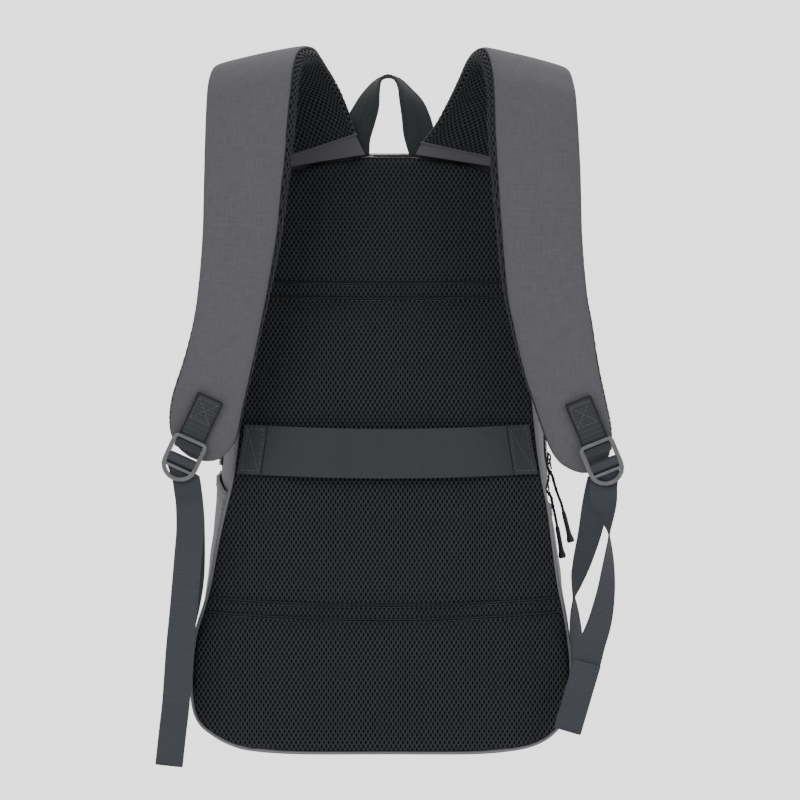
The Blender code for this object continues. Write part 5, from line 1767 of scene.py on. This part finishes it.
def make_stage():
    scene = bpy.context.scene
    look = scene.backpack_look
    bm = bmesh.new()
    bmesh.ops.create_grid(bm, x_segments=1, y_segments=1, size=1.6)
    for vert in bm.verts:
        vert.co.z = look.floor_height
    mesh = bpy.data.meshes.new("floor")
    bm.to_mesh(mesh)
    bm.free()
    mesh.materials.append(plain_floor("pale_floor", look.floor))
    floor = bpy.data.objects.new("floor", mesh)
    scene.collection.objects.link(floor)
    aim = Vector((0.0, 0.0, body_z(0.5)))
    for name, place, size, power in (("key_light", (-1.6, -3.2, 1.5), 2.2, look.key_power),
                                     ("fill_light", (2.4, -2.6, 0.4), 2.4, look.fill_power),
                                     ("rim_light", (0.2, 0.7, 2.6), 1.6, look.rim_power)):
        light = bpy.data.lights.new(name, "AREA")
        light.shape = "SQUARE"
        light.size = size
        light.energy = power
        item = bpy.data.objects.new(name, light)
        item.location = place
        item.rotation_euler = (aim - Vector(place)).to_track_quat("-Z", "Y").to_euler()
        scene.collection.objects.link(item)
    world = bpy.data.worlds.new("studio")
    world.use_nodes = True
    tree = world.node_tree
    room = tree.nodes["Background"]
    room.inputs["Color"].default_value = (1, 1, 1, 1)
    room.inputs["Strength"].default_value = look.world_strength
    backdrop = add_node(tree, "ShaderNodeBackground", {"Color": (1, 1, 1, 1),
                                                       "Strength": look.backdrop})
    seen = add_node(tree, "ShaderNodeLightPath").outputs["Is Camera Ray"]
    both = add_node(tree, "ShaderNodeMixShader", {"Fac": seen, 1: room.outputs[0],
                                                  2: backdrop.outputs[0]})
    tree.links.new(both.outputs[0], tree.nodes["World Output"].inputs["Surface"])
    scene.world = world
    lens = bpy.data.cameras.new("camera")
    lens.sensor_width = 36.0
    lens.lens = look.lens
    lens.clip_end = 50.0
    camera = bpy.data.objects.new("camera", lens)
    camera.location = (look.aim_across, -look.distance, look.aim_height)
    camera.rotation_euler = (math.pi / 2, 0.0, 0.0)
    scene.collection.objects.link(camera)
    scene.camera = camera


class BackpackLook(bpy.types.PropertyGroup):
    """Colours and sizes of the backpack's dressed look"""
    # a lighter copy of the strap's gray cloth: painted light on the walls, front and pockets, as if
    # lit from the side
    polyester: StringProperty(name="Polyester", description="Gray cloth, sRGB hex",
                              default="#8b8990")
    strap: StringProperty(name="Strap", description="Strap face cloth, sRGB hex",
                          default="#626166")
    yoke: StringProperty(name="Yoke", description="Dark cloth at the straps' tops, sRGB hex",
                         default="#55545a")
    mesh: StringProperty(name="Mesh", description="Yarn of the air mesh, sRGB hex",
                         default="#1f252a")
    # the foam's near-black is partly painted shade in the mesh's holes; the same colour draws black
    # lines of painted shade at the panel's channels, which are partly real seams, and at the band's
    # ends
    backing: StringProperty(name="Backing", description="Foam behind the mesh, sRGB hex",
                            default="#0a0c10")
    webbing: StringProperty(name="Webbing", description="Strap webbing, sRGB hex",
                            default="#40444b")
    band: StringProperty(name="Band", description="Luggage band, sRGB hex", default="#34393d")
    haul: StringProperty(name="Haul loop", description="Handle webbing, sRGB hex",
                         default="#33393c")
    thread: StringProperty(name="Thread", description="Dark sewing thread, sRGB hex",
                           default="#1d2023")
    light_thread: StringProperty(name="Light thread", description="Gray sewing thread, sRGB hex",
                                 default="#5a595e")
    zip: StringProperty(name="Zip", description="Zip tape and teeth, sRGB hex",
                        default="#17171a")
    grip: StringProperty(name="Grip", description="Moulded pull grips, sRGB hex",
                         default="#2b2c30")
    buckle: StringProperty(name="Buckle", description="Buckle enamel, sRGB hex",
                           default="#7d7e80")
    floor: StringProperty(name="Floor", description="Studio floor, sRGB hex", default="#f2f2f2")
    rib_height: FloatProperty(name="Rib height", description="Height of the mesh's ribs",
                              default=0.00035, min=0.0, unit="LENGTH")
    mesh_pitch: FloatProperty(name="Mesh pitch", description="Columns of mesh holes",
                              default=0.00353, min=0.001, unit="LENGTH")
    mesh_row: FloatProperty(name="Mesh row", description="Rows of mesh holes",
                            default=0.00282, min=0.001, unit="LENGTH")
    hole_width: FloatProperty(name="Hole width", description="Width of a mesh hole",
                              default=0.0018, min=0.0002, unit="LENGTH")
    hole_height: FloatProperty(name="Hole height", description="Height of a mesh hole",
                               default=0.0034, min=0.0002, unit="LENGTH")
    stitch_length: FloatProperty(name="Stitch length", description="Length of a band stitch",
                                 default=0.0026, min=0.001, unit="LENGTH")
    floor_height: FloatProperty(name="Floor height", description="Height of the studio floor",
                                default=-0.65, unit="LENGTH")
    distance: FloatProperty(name="Camera distance", description="Camera to the back panel",
                            default=8.0, min=0.5, unit="LENGTH")
    aim_across: FloatProperty(name="Camera across", description="Camera's place across",
                              default=0.0084, unit="LENGTH")
    aim_height: FloatProperty(name="Camera height", description="Camera's height",
                              default=-0.2455, unit="LENGTH")
    lens: FloatProperty(name="Lens", description="Focal length in millimetres",
                        default=473.0, min=10.0)
    world_strength: FloatProperty(name="Surroundings", description="Strength of the white room",
                                  default=0.42, min=0.0)
    backdrop: FloatProperty(name="Backdrop", description="Brightness of the white behind it",
                            default=2.2, min=0.0)
    key_power: FloatProperty(name="Key light", description="Power of the key light",
                             default=46.0, min=0.0, unit="POWER")
    fill_power: FloatProperty(name="Fill light", description="Power of the fill light",
                              default=20.0, min=0.0, unit="POWER")
    rim_power: FloatProperty(name="Rim light", description="Power of the light from behind",
                             default=40.0, min=0.0, unit="POWER")


STRAPS = (("left", LEFT_STRAP, LEFT_BUCKLE, LEFT_TAIL, LEFT_ANCHOR),
          ("right", RIGHT_STRAP, RIGHT_BUCKLE, RIGHT_TAIL, RIGHT_ANCHOR))


class BackpackPiece:
    """Shared settings of the backpack's operators"""
    bl_options = {"REGISTER", "UNDO"}


class AddStage(BackpackPiece, bpy.types.Operator):
    """Add the camera, the lights and the floor"""
    bl_idname = "backpack.add_stage"
    bl_label = "Stage"

    def execute(self, context):
        make_stage()
        return {"FINISHED"}


class AddPulls(BackpackPiece, bpy.types.Operator):
    """Add the two zip sliders with their cord pulls and grips"""
    bl_idname = "backpack.add_pulls"
    bl_label = "Zip Pulls"

    def execute(self, context):
        make_pulls()
        return {"FINISHED"}


class AddBackPanel(BackpackPiece, bpy.types.Operator):
    """Add the padded back panel with its openwork mesh and piping"""
    bl_idname = "backpack.add_back_panel"
    bl_label = "Back Panel"

    def execute(self, context):
        make_back_panel()
        return {"FINISHED"}


class AddWalls(BackpackPiece, bpy.types.Operator):
    """Add the side walls and the front of gray polyester"""
    bl_idname = "backpack.add_walls"
    bl_label = "Walls"

    def execute(self, context):
        make_walls()
        return {"FINISHED"}


class AddZip(BackpackPiece, bpy.types.Operator):
    """Add the zip's tape and teeth"""
    bl_idname = "backpack.add_zip"
    bl_label = "Zip"

    def execute(self, context):
        make_zip()
        return {"FINISHED"}


class AddPockets(BackpackPiece, bpy.types.Operator):
    """Add the two side pockets with their hems"""
    bl_idname = "backpack.add_pockets"
    bl_label = "Side Pockets"

    def execute(self, context):
        make_pockets()
        return {"FINISHED"}


class AddBand(BackpackPiece, bpy.types.Operator):
    """Add the luggage band across the back"""
    bl_idname = "backpack.add_band"
    bl_label = "Luggage Band"

    def execute(self, context):
        make_band()
        return {"FINISHED"}


class AddHaulLoop(BackpackPiece, bpy.types.Operator):
    """Add the haul loop at the top"""
    bl_idname = "backpack.add_haul_loop"
    bl_label = "Haul Loop"

    def execute(self, context):
        make_haul_loop()
        return {"FINISHED"}


class AddStraps(BackpackPiece, bpy.types.Operator):
    """Add the shoulder straps: yoke, foam, mesh, face and bindings"""
    bl_idname = "backpack.add_straps"
    bl_label = "Shoulder Straps"

    def execute(self, context):
        for side, rows, *_ in STRAPS:
            make_strap(side, rows)
        return {"FINISHED"}


class AddWebbing(BackpackPiece, bpy.types.Operator):
    """Add the strap tabs, the buckles and the adjuster webbing"""
    bl_idname = "backpack.add_webbing"
    bl_label = "Buckles and Webbing"

    def execute(self, context):
        for side, rows, seat, tail, anchor in STRAPS:
            make_buckle(side, rows, seat)
            make_tab(side, rows, seat)
            make_adjuster(side, rows, seat, tail, anchor)
            make_anchor_patch(side, anchor)
        return {"FINISHED"}


OPERATORS = (AddStage, AddPulls, AddBackPanel, AddWalls, AddZip, AddPockets, AddBand,
             AddHaulLoop, AddStraps, AddWebbing)


class BackpackPanel(bpy.types.Panel):
    """Lists the backpack's pieces in the sidebar"""
    bl_idname = "VIEW3D_PT_backpack"
    bl_label = "Laptop Backpack"
    bl_space_type = "VIEW_3D"
    bl_region_type = "UI"
    bl_category = "Backpack"

    def draw(self, context):
        for operator in OPERATORS:
            self.layout.operator(operator.bl_idname)
        for name in BackpackLook.__annotations__:
            self.layout.prop(context.scene.backpack_look, name)


CLASSES = (BackpackLook, *OPERATORS, BackpackPanel)


def register():
    for item in CLASSES:
        bpy.utils.register_class(item)
    bpy.types.Scene.backpack_look = PointerProperty(type=BackpackLook)


def unregister():
    del bpy.types.Scene.backpack_look
    for item in reversed(CLASSES):
        bpy.utils.unregister_class(item)


def main():
    register()
    for operator in OPERATORS:
        group, name = operator.bl_idname.split(".")
        getattr(getattr(bpy.ops, group), name)()


if __name__ == "__main__":
    main()
